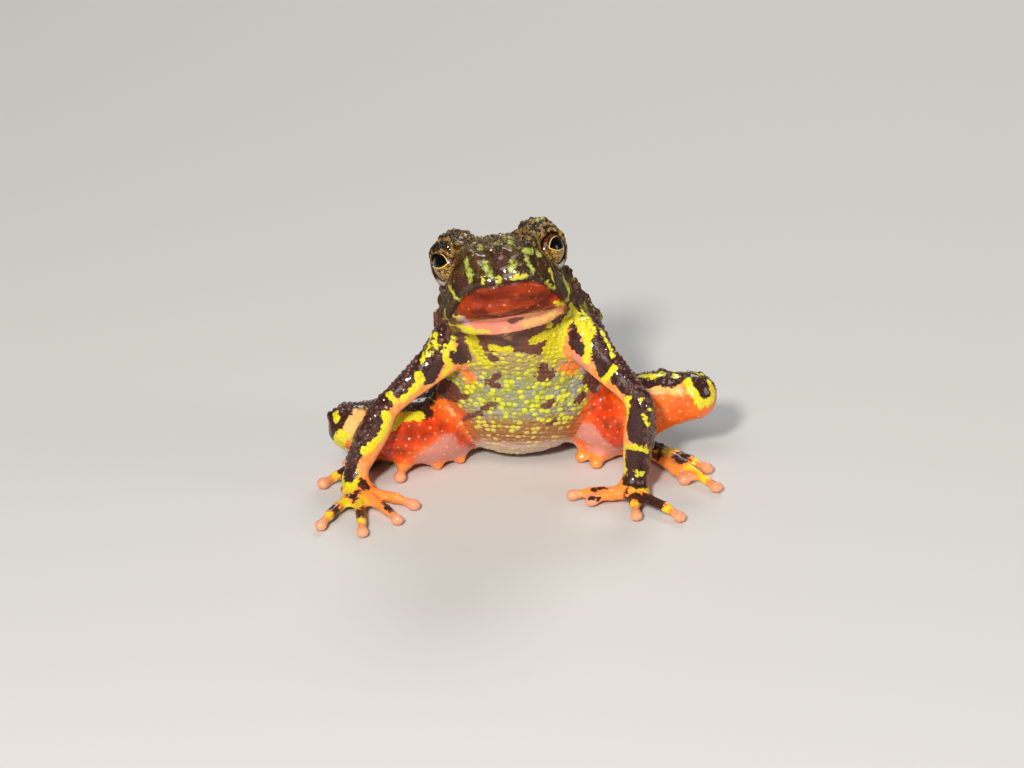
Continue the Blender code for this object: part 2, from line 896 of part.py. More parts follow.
def to_metres(pieces, root):
    """Scales the finished pieces to metres, with the middle of their base at the origin."""
    corners = [piece.matrix_world @ vert.co for piece in pieces for vert in piece.data.vertices]
    low = Vector(min(c[k] for c in corners) for k in range(3))
    high = Vector(max(c[k] for c in corners) for k in range(3))
    base = Vector(((low.x + high.x) / 2, (low.y + high.y) / 2, low.z))
    for piece in pieces:
        piece.data.transform(Matrix.Scale(METRE, 4))
        piece.location = (piece.location - base) * METRE
    root.location = (0, 0, 0)


def main():
    """Builds the toad."""
    clear_scene()
    group = new_collection("bleeding_toad")
    root = bpy.data.objects.new("toad", None)
    group.objects.link(root)
    head, jaw, torso = build_trunk_and_head()
    pieces = [
        (head, "head", "head", HEAD_AT),
        (jaw, "lower_jaw", "jaw", head_point(-2.8, 0, -4.5)),
        (torso, "torso", "torso", (0, 2, 0)),
    ]
    for label, side in (("left", 1), ("right", -1)):
        pieces.append((build_eye(side), f"eye_{label}", "eye", eye_centre(side)))
        arm = ARMS[label]
        upper, fore, hand = build_arm(arm, torso)
        pieces += [
            (upper, f"upper_arm_{label}", "arm", arm.shoulder),
            (fore, f"forearm_{label}", "arm", arm.elbow),
            (hand, f"hand_{label}", "hand", arm.wrist),
        ]
        leg = LEGS[label]
        thigh, shank, foot = build_leg(leg, torso)
        pieces += [
            (thigh, f"thigh_{label}", "thigh", leg.hip),
            (shank, f"shank_{label}", "shank", leg.knee),
            (foot, f"foot_{label}", "foot", leg.heel),
        ]
    finished = [finish(*entry, group, root) for entry in pieces]
    bpy.context.view_layer.update()
    to_metres(finished, root)


main()
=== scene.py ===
"""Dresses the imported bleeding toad: one wet skin with its markings, its granules and warts, and two eyes.

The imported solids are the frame. Meshes are shaped in millimetres and brought to metres when they are
finished. The toad faces -Y, its left side is +X and +Z is up.
"""

from __future__ import annotations

import json
import logging
import math
from collections.abc import Iterator
from contextlib import contextmanager
from dataclasses import dataclass, field
from enum import Enum

import bpy
import numpy as np
from mathutils import Matrix, Vector
from mathutils.bvhtree import BVHTree
from mathutils.kdtree import KDTree

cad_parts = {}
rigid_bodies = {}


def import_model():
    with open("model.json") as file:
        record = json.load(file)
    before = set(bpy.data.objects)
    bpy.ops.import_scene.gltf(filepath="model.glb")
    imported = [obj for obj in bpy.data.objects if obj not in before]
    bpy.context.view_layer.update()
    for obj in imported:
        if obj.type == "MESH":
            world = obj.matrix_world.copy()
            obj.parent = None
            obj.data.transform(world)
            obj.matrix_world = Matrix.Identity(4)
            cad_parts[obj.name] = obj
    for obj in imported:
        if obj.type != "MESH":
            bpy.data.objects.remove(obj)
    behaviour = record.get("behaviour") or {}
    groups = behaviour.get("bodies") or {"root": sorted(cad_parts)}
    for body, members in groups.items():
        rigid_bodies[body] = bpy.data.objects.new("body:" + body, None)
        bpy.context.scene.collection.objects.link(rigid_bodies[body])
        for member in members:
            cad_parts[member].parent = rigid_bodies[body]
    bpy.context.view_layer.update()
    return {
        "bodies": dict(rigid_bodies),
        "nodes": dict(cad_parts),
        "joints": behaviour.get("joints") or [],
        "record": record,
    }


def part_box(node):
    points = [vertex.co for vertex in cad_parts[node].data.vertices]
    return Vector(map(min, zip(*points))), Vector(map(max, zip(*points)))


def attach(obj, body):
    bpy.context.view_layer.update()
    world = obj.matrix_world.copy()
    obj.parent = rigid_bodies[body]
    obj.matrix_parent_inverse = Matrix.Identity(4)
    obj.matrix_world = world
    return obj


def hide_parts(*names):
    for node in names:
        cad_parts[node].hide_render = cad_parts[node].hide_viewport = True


log = logging.getLogger("bleeding_toad")

METRE = 0.001

# The photograph, and the camera that took its view: millimetres, degrees and pixels.
PHOTO_WIDTH = 1024
PHOTO_HEIGHT = 768
SENSOR = 36.0
LENS = 140.3
CAMERA_LIFT = 22.0
CAMERA_DISTANCE = 300.0
CAMERA_AIM = Vector((-0.565, 5.52, 4.96))

# How far the face looks up, and how far before and behind the toad a line of sight is searched.
HEAD_PITCH = math.radians(22)
SEARCH_DEPTH = 16.0
SEARCH_STEPS = 33

Colour = tuple[float, float, float]
Span = tuple[float, float]
Pixels = tuple[tuple[float, float], ...]
Stroke = tuple[float, Pixels]
Socket = bpy.types.NodeSocket


class Tone(Enum):
    """The colours that a marking can have, painted shade first, in the order in which they cover one another."""

    # Painted shade: dark red laid into the throat's hollows and under the overhang of the upper lip.
    DEEP = "deep"
    RED = "red"
    PINK = "pink"
    LILAC = "lilac"
    PEACH = "peach"
    BROWN = "brown"
    GREEN = "green"
    YELLOW = "yellow"


class Region(Enum):
    """Groups of solids that a marking may lie on."""

    HEAD = ("head", "lower_jaw")
    TRUNK = ("torso", "head", "lower_jaw")
    RIGHT_ARM = ("upper_arm_right", "forearm_right", "hand_right", "torso")
    LEFT_ARM = ("upper_arm_left", "forearm_left", "hand_left", "torso")
    RIGHT_LEG = ("thigh_right", "shank_right")
    LEFT_LEG = ("thigh_left", "shank_left")


# The markings that the photograph shows, among them painted shade in the throat and a painted highlight on the
# snout: each one's width in millimetres on the animal, and the line along which it lies, in photo pixels.
MARKS: dict[tuple[Region, Tone], dict[str, Stroke]] = {
    (Region.HEAD, Tone.GREEN): {
        "beside_right_eye": (0.34, ((465, 260), (466, 266), (469, 270), (470, 276), (471, 280))),
        "snout_right": (0.42, ((485, 264), (487, 270), (490, 274))),
        "snout_left": (0.38, ((512, 262), (515, 265), (511, 269))),
        "beside_left_eye": (0.4, ((525, 252), (531, 250))),
        "below_left_eye": (0.28, ((526, 256), (529, 263), (531, 267), (533, 272))),
        "left_lid_corner": (0.3, ((537, 251), (539, 254))),
        "brow_right_fleck": (0.3, ((480, 244), (481, 250))),
        "crown_right": (0.24, ((474, 238), (483, 236))),
        "crown_left": (0.22, ((505, 236), (513, 239))),
        "brow_left_fleck": (0.22, ((537, 220), (542, 219))),
        # Pale flecks on the snout's top: partly its own pale patches, partly a painted highlight where the wet
        # snout shines.
        "snout_fleck_and_sheen": (0.3, ((496, 244), (499, 246))),
        "snout_fleck_and_sheen_left": (0.28, ((510, 241), (512, 245))),
    },
    (Region.HEAD, Tone.YELLOW): {
        "left_cheek": (0.26, ((550, 271), (552, 275), (553, 280))),
        "lip_right_front": (0.4, ((483, 280), (488, 285))),
        "lip_middle": (0.36, ((499, 278), (499, 282), (497, 286))),
        "lip_left_front": (0.4, ((514, 280), (518, 277), (524, 276))),
        "lip_left_fleck": (0.2, ((530, 280), (532, 280))),
        "lip_left": (0.38, ((546, 283), (549, 287), (553, 288))),
        "lip_right": (0.3, ((473, 291), (468, 295), (460, 299), (455, 297), (451, 290), (448, 286))),
    },
    (Region.HEAD, Tone.BROWN): {
        "snout_top": (0.6, ((498, 256), (504, 261), (499, 267))),
        "cheek_right_dark": (0.7, ((458, 282), (466, 285))),
    },
    (Region.TRUNK, Tone.YELLOW): {
        "jaw_corner_left": (0.3, ((563, 277), (567, 286), (569, 293), (568, 299), (563, 304), (556, 303))),
        "jaw_corner_right": (0.3, ((445, 311), (447, 319), (452, 325), (461, 326), (466, 330))),
        "jaw_fleck_right": (0.22, ((452, 315), (459, 317))),
        "rim_right": (0.3, ((462, 328), (474, 331), (487, 332))),
        "chest_dot": (0.4, ((548, 323), (551, 326))),
        "chest_stripe_right": (0.95, ((470, 333), (472, 341), (477, 350), (482, 359), (485, 364))),
        "chest_patch_top": (1.0, ((568, 319), (564, 325), (559, 331))),
        "chest_patch_front": (0.8, ((560, 330), (550, 334), (541, 337), (534, 341))),
        "chest_patch_middle": (1.8, ((564, 330), (560, 338), (554, 346))),
        "chest_patch_low": (1.2, ((566, 341), (561, 350), (553, 356))),
        "chest_centre": (0.6, ((492, 347), (500, 350), (509, 350))),
    },
    # Painted shade: the throat's hollows and the strip under the upper lip, darkened in the colour.
    (Region.TRUNK, Tone.DEEP): {
        "throat_hollow": (0.6, ((484, 300), (496, 300), (508, 296))),
        "throat_hollow_left": (0.6, ((540, 297), (552, 299))),
        "throat_top": (0.4, ((474, 296), (490, 290), (512, 286))),
    },
    (Region.TRUNK, Tone.LILAC): {
        "roll_end": (0.5, ((461, 318), (467, 321))),
        "belly_end_lilac": (0.7, ((541, 452), (552, 448), (560, 443))),
        "belly_end_pale": (0.5, ((498, 452), (512, 454), (527, 453))),
    },
    (Region.TRUNK, Tone.BROWN): {
        "roll_spot": (0.62, ((511, 320), (519, 318))),
        "chest_arc": (0.5, ((525, 350), (536, 353), (545, 350))),
        "chest_blot": (0.7, ((489, 357), (494, 359))),
        "belly_1": (0.5, ((498, 375), (489, 383), (498, 386))),
        "belly_2": (0.85, ((543, 367), (542, 376), (550, 375))),
        "belly_3": (0.55, ((545, 406), (554, 402))),
        "belly_4": (0.45, ((494, 404), (483, 408))),
        "belly_5": (0.4, ((464, 418), (472, 416), (481, 413))),
        "belly_6": (0.35, ((550, 424), (557, 419))),
        "flank_right_top": (1.7, ((443, 385), (452, 391))),
        "flank_right_tail": (0.5, ((456, 393), (466, 397))),
        "flank_right_low": (0.7, ((441, 408), (450, 414))),
        "flank_left_top": (1.2, ((588, 377), (594, 385))),
        "flank_left_low": (0.6, ((583, 395), (578, 400))),
    },
    (Region.TRUNK, Tone.PEACH): {
        "rim_left": (0.5, ((526, 323), (537, 321), (548, 317), (556, 313))),
        "rim_middle": (0.34, ((506, 330), (508, 336))),
        "armpit_right": (0.9, ((461, 366), (466, 372), (470, 378))),
        "armpit_left": (0.9, ((577, 366), (572, 369), (566, 367))),
    },
    (Region.TRUNK, Tone.RED): {
        "corner_left": (0.5, ((556, 302), (566, 306))),
    },
    (Region.RIGHT_ARM, Tone.BROWN): {
        "yoke": (1.2, ((460, 338), (463, 346), (456, 356), (464, 358))),
        "upper_blot": (1.5, ((438, 357), (432, 366), (429, 376))),
        "elbow_blot": (1.1, ((411, 383), (403, 388), (397, 391))),
        "fore_blot_top": (1.1, ((386, 401), (375, 408))),
        "fore_blot": (1.8, ((378, 419), (368, 430), (358, 441), (352, 452))),
        "fore_blot_low": (1.5, ((349, 460), (349, 470), (347, 478))),
        "hand_blot": (0.8, ((362, 483), (365, 487))),
        "finger_band": (0.5, ((385, 503), (391, 509))),
    },
    (Region.RIGHT_ARM, Tone.YELLOW): {
        "edge_outer": (0.3, ((431, 333), (428, 346), (422, 362))),
        "edge_loop": (0.4, ((435, 335), (437, 347), (428, 354))),
        "line_between": (0.42, ((446, 349), (446, 359), (450, 366), (444, 374))),
        "yoke_edge": (0.34, ((453, 339), (451, 345), (454, 349))),
        "before_elbow": (0.6, ((418, 374), (421, 382), (412, 391), (404, 399))),
        "after_elbow": (0.4, ((388, 394), (395, 401))),
        "fore_edge": (0.6, ((384, 413), (388, 420), (383, 435), (374, 443), (364, 452))),
        "wrist_edge": (0.4, ((341, 473), (343, 484), (352, 488), (356, 481))),
    },
    (Region.LEFT_ARM, Tone.PINK): {
        "shoulder_pale_left": (0.7, ((578, 352), (577, 361), (584, 367))),
        "shoulder_pale": (0.4, ((577, 338), (579, 345))),
    },
    (Region.LEFT_ARM, Tone.BROWN): {
        "yoke_left": (1.0, ((575, 335), (574, 344), (582, 350))),
        "upper_blot_left": (1.4, ((598, 341), (598, 351), (603, 363), (605, 371))),
        "elbow_blot_left": (1.1, ((616, 376), (623, 383), (631, 392))),
        "fore_blot_left": (1.7, ((637, 401), (638, 412), (637, 424), (639, 436))),
        "fore_blot_low_left": (1.9, ((637, 456), (637, 468), (636, 480))),
        "shoulder_spot": (0.3, ((585, 318), (588, 323))),
        "thumb_shade": (0.34, ((592, 490), (599, 488), (606, 489))),
        "finger_shade": (0.3, ((590, 498), (598, 499))),
    },
    (Region.LEFT_ARM, Tone.YELLOW): {
        "fore_band_left": (0.4, ((624, 446), (635, 446), (647, 451))),
        "wrist_dot_left": (0.36, ((637, 472), (641, 474))),
        "fore_edge_left": (0.45, ((628, 398), (626, 412), (623, 424), (622, 442), (623, 461), (625, 472))),
        "fore_line_left": (0.26, ((641, 399), (648, 404), (650, 411))),
        "fore_line_low_left": (0.2, ((643, 415), (648, 425))),
        "before_elbow_left": (0.45, ((615, 366), (610, 374), (604, 381))),
        "upper_edge_left": (0.55, ((588, 336), (589, 347), (586, 360))),
        "outer_edge_left": (0.26, ((601, 331), (608, 342), (612, 356))),
        "shoulder_loop_left": (0.75, ((571, 308), (577, 317), (582, 326), (588, 336))),
        "shoulder_loop_outer": (0.4, ((580, 309), (588, 320), (594, 331))),
    },
    (Region.RIGHT_LEG, Tone.BROWN): {
        "knee_blot_top": (1.2, ((364, 404), (352, 404))),
        "knee_blot": (1.5, ((343, 411), (335, 426), (331, 440))),
        "knee_rim": (0.9, ((330, 411), (329, 421))),
        "thigh_shade": (1.3, ((402, 405), (413, 408), (424, 412))),
    },
    (Region.RIGHT_LEG, Tone.PEACH): {
        "knee_pale": (1.3, ((356, 414), (351, 423), (350, 431))),
    },
    (Region.RIGHT_LEG, Tone.YELLOW): {
        "knee_yellow": (1.0, ((342, 436), (337, 447), (342, 452))),
        "knee_fleck": (0.5, ((336, 413), (336, 419))),
        "thigh_edge": (0.7, ((392, 426), (400, 419), (410, 415), (420, 416))),
    },
    (Region.RIGHT_LEG, Tone.RED): {
        "thigh_deep": (2.4, ((428, 424), (412, 433), (398, 444), (388, 452))),
        "groin_deep": (1.2, ((432, 422), (450, 434), (470, 446))),
    },
    (Region.RIGHT_LEG, Tone.PINK): {
        "thigh_pink": (2.0, ((446, 447), (436, 454), (428, 459))),
        "thigh_pink_inner": (1.4, ((452, 452), (466, 455), (478, 455))),
    },
    (Region.LEFT_LEG, Tone.BROWN): {
        "thigh_top": (1.5, ((620, 376), (640, 377), (656, 376), (676, 377))),
        "thigh_top_edge": (0.8, ((634, 387), (645, 384), (660, 381), (672, 383))),
        "knee_blot_left": (1.3, ((692, 375), (700, 384), (704, 392))),
    },
    (Region.LEFT_LEG, Tone.YELLOW): {
        "thigh_top_line": (0.5, ((631, 379), (643, 375), (652, 376), (664, 374))),
        "thigh_top_dot": (0.45, ((675, 374), (676, 377))),
        "knee_line": (0.24, ((690, 371), (699, 374))),
        "knee_edge_left": (0.6, ((687, 382), (692, 391), (701, 404), (710, 402))),
        "knee_rim_left": (0.55, ((710, 382), (713, 391), (712, 400))),
    },
    (Region.LEFT_LEG, Tone.PEACH): {
        "thigh_edge_left": (0.8, ((642, 394), (655, 388), (668, 387), (680, 390))),
    },
    (Region.LEFT_LEG, Tone.RED): {
        "thigh_deep_left": (2.2, ((600, 400), (606, 412), (610, 430), (612, 446))),
        "groin_deep_left": (1.0, ((594, 412), (580, 424), (566, 435))),
    },
    (Region.LEFT_LEG, Tone.PINK): {
        "thigh_pink_left": (2.2, ((588, 436), (596, 444), (604, 450))),
    },
    (Region.LEFT_LEG, Tone.LILAC): {
        "groin_lilac": (1.0, ((552, 453), (563, 447), (574, 441))),
    },
}

# Where the lips meet, as (forward, up) places in the head's own frame.
MOUTH_LINE = np.array(
    ((5.2, -2.05), (3.8, -2.1), (3.0, -2.45), (2.2, -2.95), (1.2, -3.45), (0.0, -3.8), (-2.6, -4.15))
)
NOSTRIL = (4.5, 1.2, -0.7)
NOSTRIL_WIDTH = 0.24


@dataclass(frozen=True)
class Paw:
    """A hand or foot: the middle of its palm and the tips of its digits, from the inner one outwards.

    The places are millimetres on the floor, and dark names the digits that carry dark bands.
    """

    palm: tuple[float, float]
    tips: tuple[tuple[float, float], ...]
    dark: tuple[int, ...]


DIGIT_RISE = 0.4
PAWS = (
    Paw((8.2, -5.0), ((3.7, -5.0), (5.1, -6.1), (8.4, -8.8), (11.6, -9.0)), (2, 3)),
    Paw((-11.9, -4.7), ((-7.6, -6.8), (-8.8, -9.5), (-11.3, -11.7), (-14.4, -10.5)), (2, 3)),
    Paw((8.6, 4.7), ((4.5, 2.1), (5.6, 0.9), (12.2, -2.2), (14.5, -3.6), (14.0, -0.1)), (3, 4)),
    Paw((-8.0, 4.1), ((-4.4, 1.9), (-6.1, 0.7), (-8.9, -1.8), (-14.6, -2.9), (-12.9, 0.7)), (3, 4)),
)


# Ridges, or furrows where the height is below zero: the width and height in millimetres and the line in
# photo pixels.
FOLDS: dict[Region, dict[str, tuple[float, float, Pixels]]] = {
    Region.HEAD: {
        "snout_tip": (0.62, 0.34, ((493, 250), (502, 252))),
        "snout_rise": (0.35, 0.1, ((478, 268), (482, 276))),
        "snout_rise_left": (0.35, 0.1, ((519, 266), (522, 272))),
        "canthus_right": (0.4, 0.09, ((463, 247), (474, 254), (484, 260))),
        "canthus_left": (0.4, 0.09, ((533, 237), (523, 247), (514, 255))),
        "before_right_eye": (0.3, -0.07, ((461, 258), (464, 268), (462, 280))),
        "before_left_eye": (0.3, -0.07, ((537, 243), (537, 256), (545, 268))),
        "nose_furrow": (0.35, -0.08, ((499, 266), (504, 272), (503, 277))),
        "lip_right": (0.3, 0.07, ((462, 298), (474, 290), (486, 284), (498, 282))),
        "lip_left": (0.3, 0.07, ((498, 282), (514, 278), (530, 277), (546, 283), (556, 291))),
        "throat_hollow": (0.8, -0.26, ((482, 301), (498, 298), (510, 291))),
        "throat_hollow_left": (0.5, -0.22, ((541, 300), (554, 297))),
        "throat_ridge": (0.45, 0.2, ((474, 311), (496, 310), (512, 303), (526, 294), (542, 289))),
        "roll_furrow": (
            0.22,
            -0.13,
            ((464, 316), (482, 315), (500, 317), (517, 315), (531, 309), (546, 304)),
        ),
    },
    Region.TRUNK: {
        "chest_bulge": (0.7, 0.34, ((492, 336), (506, 333), (521, 333))),
        "chest_furrow": (0.3, -0.1, ((486, 347), (500, 344), (520, 345), (534, 344))),
        "armpit_right": (0.3, -0.12, ((455, 366), (465, 372), (470, 384))),
        "armpit_left": (0.3, -0.12, ((584, 366), (575, 372), (571, 384))),
    },
}


def smooth_step(low: float, high: float, values: np.ndarray) -> np.ndarray:
    """Zero below low, one above high, and a smooth rise between."""
    share = np.clip((values - low) / (high - low), 0, 1)
    return share * share * (3 - 2 * share)


def bell(values: np.ndarray, middle: float, width: float) -> np.ndarray:
    """One at the middle, falling off smoothly over the width on both sides."""
    return np.exp(-(((values - middle) / width) ** 2))


def line_distance(points: np.ndarray, line: np.ndarray) -> np.ndarray:
    """The distance from each point to a line of points, in as many dimensions as they have.

    Args:
        points: One row for each point.
        line: One row for each corner of the line.

    Returns:
        One distance for each point.
    """
    best = np.full(len(points), np.inf)
    for start, end in zip(line[:-1], line[1:]):
        along = end - start
        share = np.clip((points - start) @ along / max(float(along @ along), 1e-12), 0, 1)
        best = np.minimum(best, np.linalg.norm(points - start - share[:, None] * along, axis=1))
    return best


class Bench:
    """Blender's operators, used on one mesh at a time."""

    @staticmethod
    def pick(*objects: bpy.types.Object) -> None:
        """Selects these objects alone and makes the first of them active."""
        bpy.ops.object.select_all(action="DESELECT")
        for obj in objects:
            obj.select_set(True)
        bpy.context.view_layer.objects.active = objects[0]

    @staticmethod
    def modify(obj: bpy.types.Object, kind: str, **settings: object) -> None:
        """Adds a modifier with its settings and applies it."""
        modifier = obj.modifiers.new(kind.lower(), kind)
        for name, value in settings.items():
            setattr(modifier, name, value)
        Bench.pick(obj)
        bpy.ops.object.modifier_apply(modifier=modifier.name)

    @staticmethod
    @contextmanager
    def editing(obj: bpy.types.Object) -> Iterator[None]:
        """Edit mode on one mesh, left again at the end."""
        Bench.pick(obj)
        bpy.ops.object.mode_set(mode="EDIT")
        yield
        bpy.ops.object.mode_set(mode="OBJECT")

    @staticmethod
    def place(
        obj: bpy.types.Object,
        name: str,
        material: bpy.types.Material,
        slot: str,
        replaced: tuple[str, ...] = (),
    ) -> None:
        """Brings a shaped piece to metres, dresses it and hands it to the frame.

        Args:
            obj: A piece in millimetres whose object is at the origin.
            name: The piece's name.
            material: Its finish.
            slot: The record's material slot meant for it; not used.
            replaced: The solids that it stands for.
        """
        obj.data.transform(Matrix.Scale(METRE, 4))
        obj.name = name
        obj.data.name = name
        obj.data.materials.clear()
        obj.data.materials.append(material)
        Bench.pick(obj)
        bpy.ops.object.shade_smooth()
        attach(obj, "root")
        if replaced:
            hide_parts(*replaced)
        obj.data.calc_loop_triangles()
        log.info("%s: %d triangles", name, len(obj.data.loop_triangles))


class Surface:
    """A mesh in millimetres as arrays of points, outward directions and edges."""

    def __init__(self, obj: bpy.types.Object) -> None:
        """Reads the object's mesh."""
        self.obj = obj
        self.read()

    def read(self) -> None:
        """Takes the mesh's points, normals and edges into arrays."""
        mesh = self.obj.data
        mesh.update()
        count = len(mesh.vertices)
        points = np.zeros(count * 3)
        mesh.vertices.foreach_get("co", points)
        self.points = points.reshape(-1, 3)
        normals = np.zeros(count * 3)
        mesh.vertices.foreach_get("normal", normals)
        self.normals = normals.reshape(-1, 3)
        edges = np.zeros(len(mesh.edges) * 2, np.int64)
        mesh.edges.foreach_get("vertices", edges)
        self.edges = edges.reshape(-1, 2)

    def write(self) -> None:
        """Puts the points back into the mesh and reads the new normals."""
        self.obj.data.vertices.foreach_set("co", self.points.ravel())
        self.read()

    def spread(self, values: np.ndarray, rounds: int) -> np.ndarray:
        """Averages values with those of the points next door, some rounds over.

        Args:
            values: One number or one row for each point.
            rounds: How many times to average.

        Returns:
            The averaged values, in the same shape.
        """
        count = len(self.points)
        first, second = self.edges.T
        near = np.concatenate([first, second])
        far = np.concatenate([second, first])
        links = np.maximum(np.bincount(near, minlength=count), 1)
        rows = values.reshape(count, -1).astype(float)
        for _ in range(rounds):
            sums = [np.bincount(near, weights=column[far], minlength=count) for column in rows.T]
            rows = 0.5 * rows + 0.5 * np.stack(sums, axis=1) / links[:, None]
        return rows.reshape(values.shape)

    def relax(self, share: np.ndarray, rounds: int) -> None:
        """Moves points towards their neighbours' middle, by a share for each point."""
        for _ in range(rounds):
            self.points += (self.spread(self.points, 1) - self.points) * 2 * share[:, None]
        self.write()

    def push(self, amount: np.ndarray, along: np.ndarray | None = None) -> None:
        """Moves points outwards by an amount for each, along the normals or the given directions."""
        self.points += (self.normals if along is None else along) * amount[:, None]
        self.write()

    def store(self, name: str, values: np.ndarray) -> None:
        """Keeps one number for each point as an attribute of the mesh."""
        attribute = self.obj.data.attributes.new(name, "FLOAT", "POINT")
        attribute.data.foreach_set("value", np.ascontiguousarray(values, np.float32))


@dataclass
class Viewpoint:
    """The photograph's camera, in millimetres."""

    aim: Vector = field(default_factory=lambda: CAMERA_AIM.copy())
    lift: float = math.radians(CAMERA_LIFT)
    distance: float = CAMERA_DISTANCE

    def axes(self) -> tuple[Vector, Vector, Vector]:
        """The camera's right, up and viewing directions."""
        up = Vector((0, math.sin(self.lift), math.cos(self.lift)))
        ahead = Vector((0, math.cos(self.lift), -math.sin(self.lift)))
        return Vector((1, 0, 0)), up, ahead

    def station(self) -> Vector:
        """Where the camera stands."""
        return self.aim - self.axes()[2] * self.distance

    def ray(self, pixel: tuple[float, float]) -> Vector:
        """The direction in which the camera sees a pixel of the photograph."""
        right, up, ahead = self.axes()
        step = SENSOR / LENS / PHOTO_WIDTH
        across = (pixel[0] - PHOTO_WIDTH / 2) * step
        upward = (PHOTO_HEIGHT / 2 - pixel[1]) * step
        return (ahead + right * across + up * upward).normalized()

    def build(self) -> None:
        """Adds the camera to the scene."""
        bpy.ops.object.camera_add(location=self.station() * METRE, rotation=(math.pi / 2 - self.lift, 0, 0))
        camera = bpy.context.object
        camera.data.lens = LENS
        camera.data.sensor_width = SENSOR
        camera.data.clip_start = 0.01
        camera.data.clip_end = 20
        bpy.context.scene.camera = camera


class Anatomy:
    """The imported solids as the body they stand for: which part a place belongs to, and the head's frame."""

    def __init__(self, nodes: dict[str, bpy.types.Object], viewpoint: Viewpoint) -> None:
        """Reads the solids.

        Args:
            nodes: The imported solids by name.
            viewpoint: The camera, for places given as pixels.
        """
        self.nodes = nodes
        self.viewpoint = viewpoint
        self.flesh = sorted(name for name in nodes if not name.startswith("eye_"))
        self.eyes = {side: self._middle(f"eye_{label}") for side, label in ((1, "left"), (-1, "right"))}
        self.eye_radius = (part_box("eye_left")[1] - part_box("eye_left")[0]).length / METRE / (2 * math.sqrt(3))
        self.head_at = (self.eyes[1] + self.eyes[-1]) / 2
        side = (self.eyes[1] - self.eyes[-1]).normalized()
        ahead = Vector((0, -math.cos(HEAD_PITCH), math.sin(HEAD_PITCH)))
        self.forward = (ahead - side * ahead.dot(side)).normalized()
        self.side = side
        self.up = side.cross(self.forward)
        if self.up.z < 0:
            self.up.negate()
        self.trees = {region: self._tree(region.value) for region in Region}
        self.whole, self.owners = self._labelled_tree()

    def _middle(self, name: str) -> Vector:
        """The middle of a solid's box, in millimetres."""
        low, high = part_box(name)
        return (low + high) / 2 / METRE

    def _soup(self, names: tuple[str, ...]) -> tuple[list, list, list]:
        """The corners and triangles of several solids together, with the index of each triangle's solid."""
        corners: list = []
        triangles: list = []
        owners: list = []
        for index, name in enumerate(names):
            mesh = self.nodes[name].data
            start = len(corners)
            corners += [vertex.co / METRE for vertex in mesh.vertices]
            triangles += [[start + corner for corner in face.vertices] for face in mesh.polygons]
            owners += [index] * len(mesh.polygons)
        return corners, triangles, owners

    def _tree(self, names: tuple[str, ...]) -> BVHTree:
        """A search tree of several solids."""
        corners, triangles, _ = self._soup(names)
        return BVHTree.FromPolygons(corners, triangles)

    def _labelled_tree(self) -> tuple[BVHTree, list]:
        """A search tree of all the flesh, with the index of the solid that each triangle belongs to."""
        corners, triangles, owners = self._soup(tuple(self.flesh))
        return BVHTree.FromPolygons(corners, triangles), owners

    def label(self, points: np.ndarray) -> np.ndarray:
        """The index in self.flesh of the solid nearest to each point."""
        return np.array([self.owners[self.whole.find_nearest(Vector(point))[2]] for point in points])

    def head_place(self, points: np.ndarray) -> np.ndarray:
        """The (forward, side, up) places of points in the head's frame, with side to the animal's left."""
        frame = np.array([self.forward, self.side, self.up])
        return (points - np.array(self.head_at)) @ frame.T

    def head_point(self, forward: float, side: float, up: float) -> Vector:
        """The point at a place of the head's frame."""
        return self.head_at + self.forward * forward + self.side * side + self.up * up

    def seen_at(self, pixel: tuple[float, float], region: Region) -> Vector:
        """The place on a region that a pixel shows, or the place nearest to its line of sight."""
        start = self.viewpoint.station()
        ray = self.viewpoint.ray(pixel)
        hit = self.trees[region].ray_cast(start, ray)[0]
        if hit is not None:
            return hit
        best = start
        gap = math.inf
        for depth in np.linspace(-SEARCH_DEPTH, SEARCH_DEPTH, SEARCH_STEPS) + self.viewpoint.distance:
            place = start + ray * float(depth)
            near = self.trees[region].find_nearest(place)[0]
            if (near - place).length < gap:
                best = near
                gap = (near - place).length
        return best


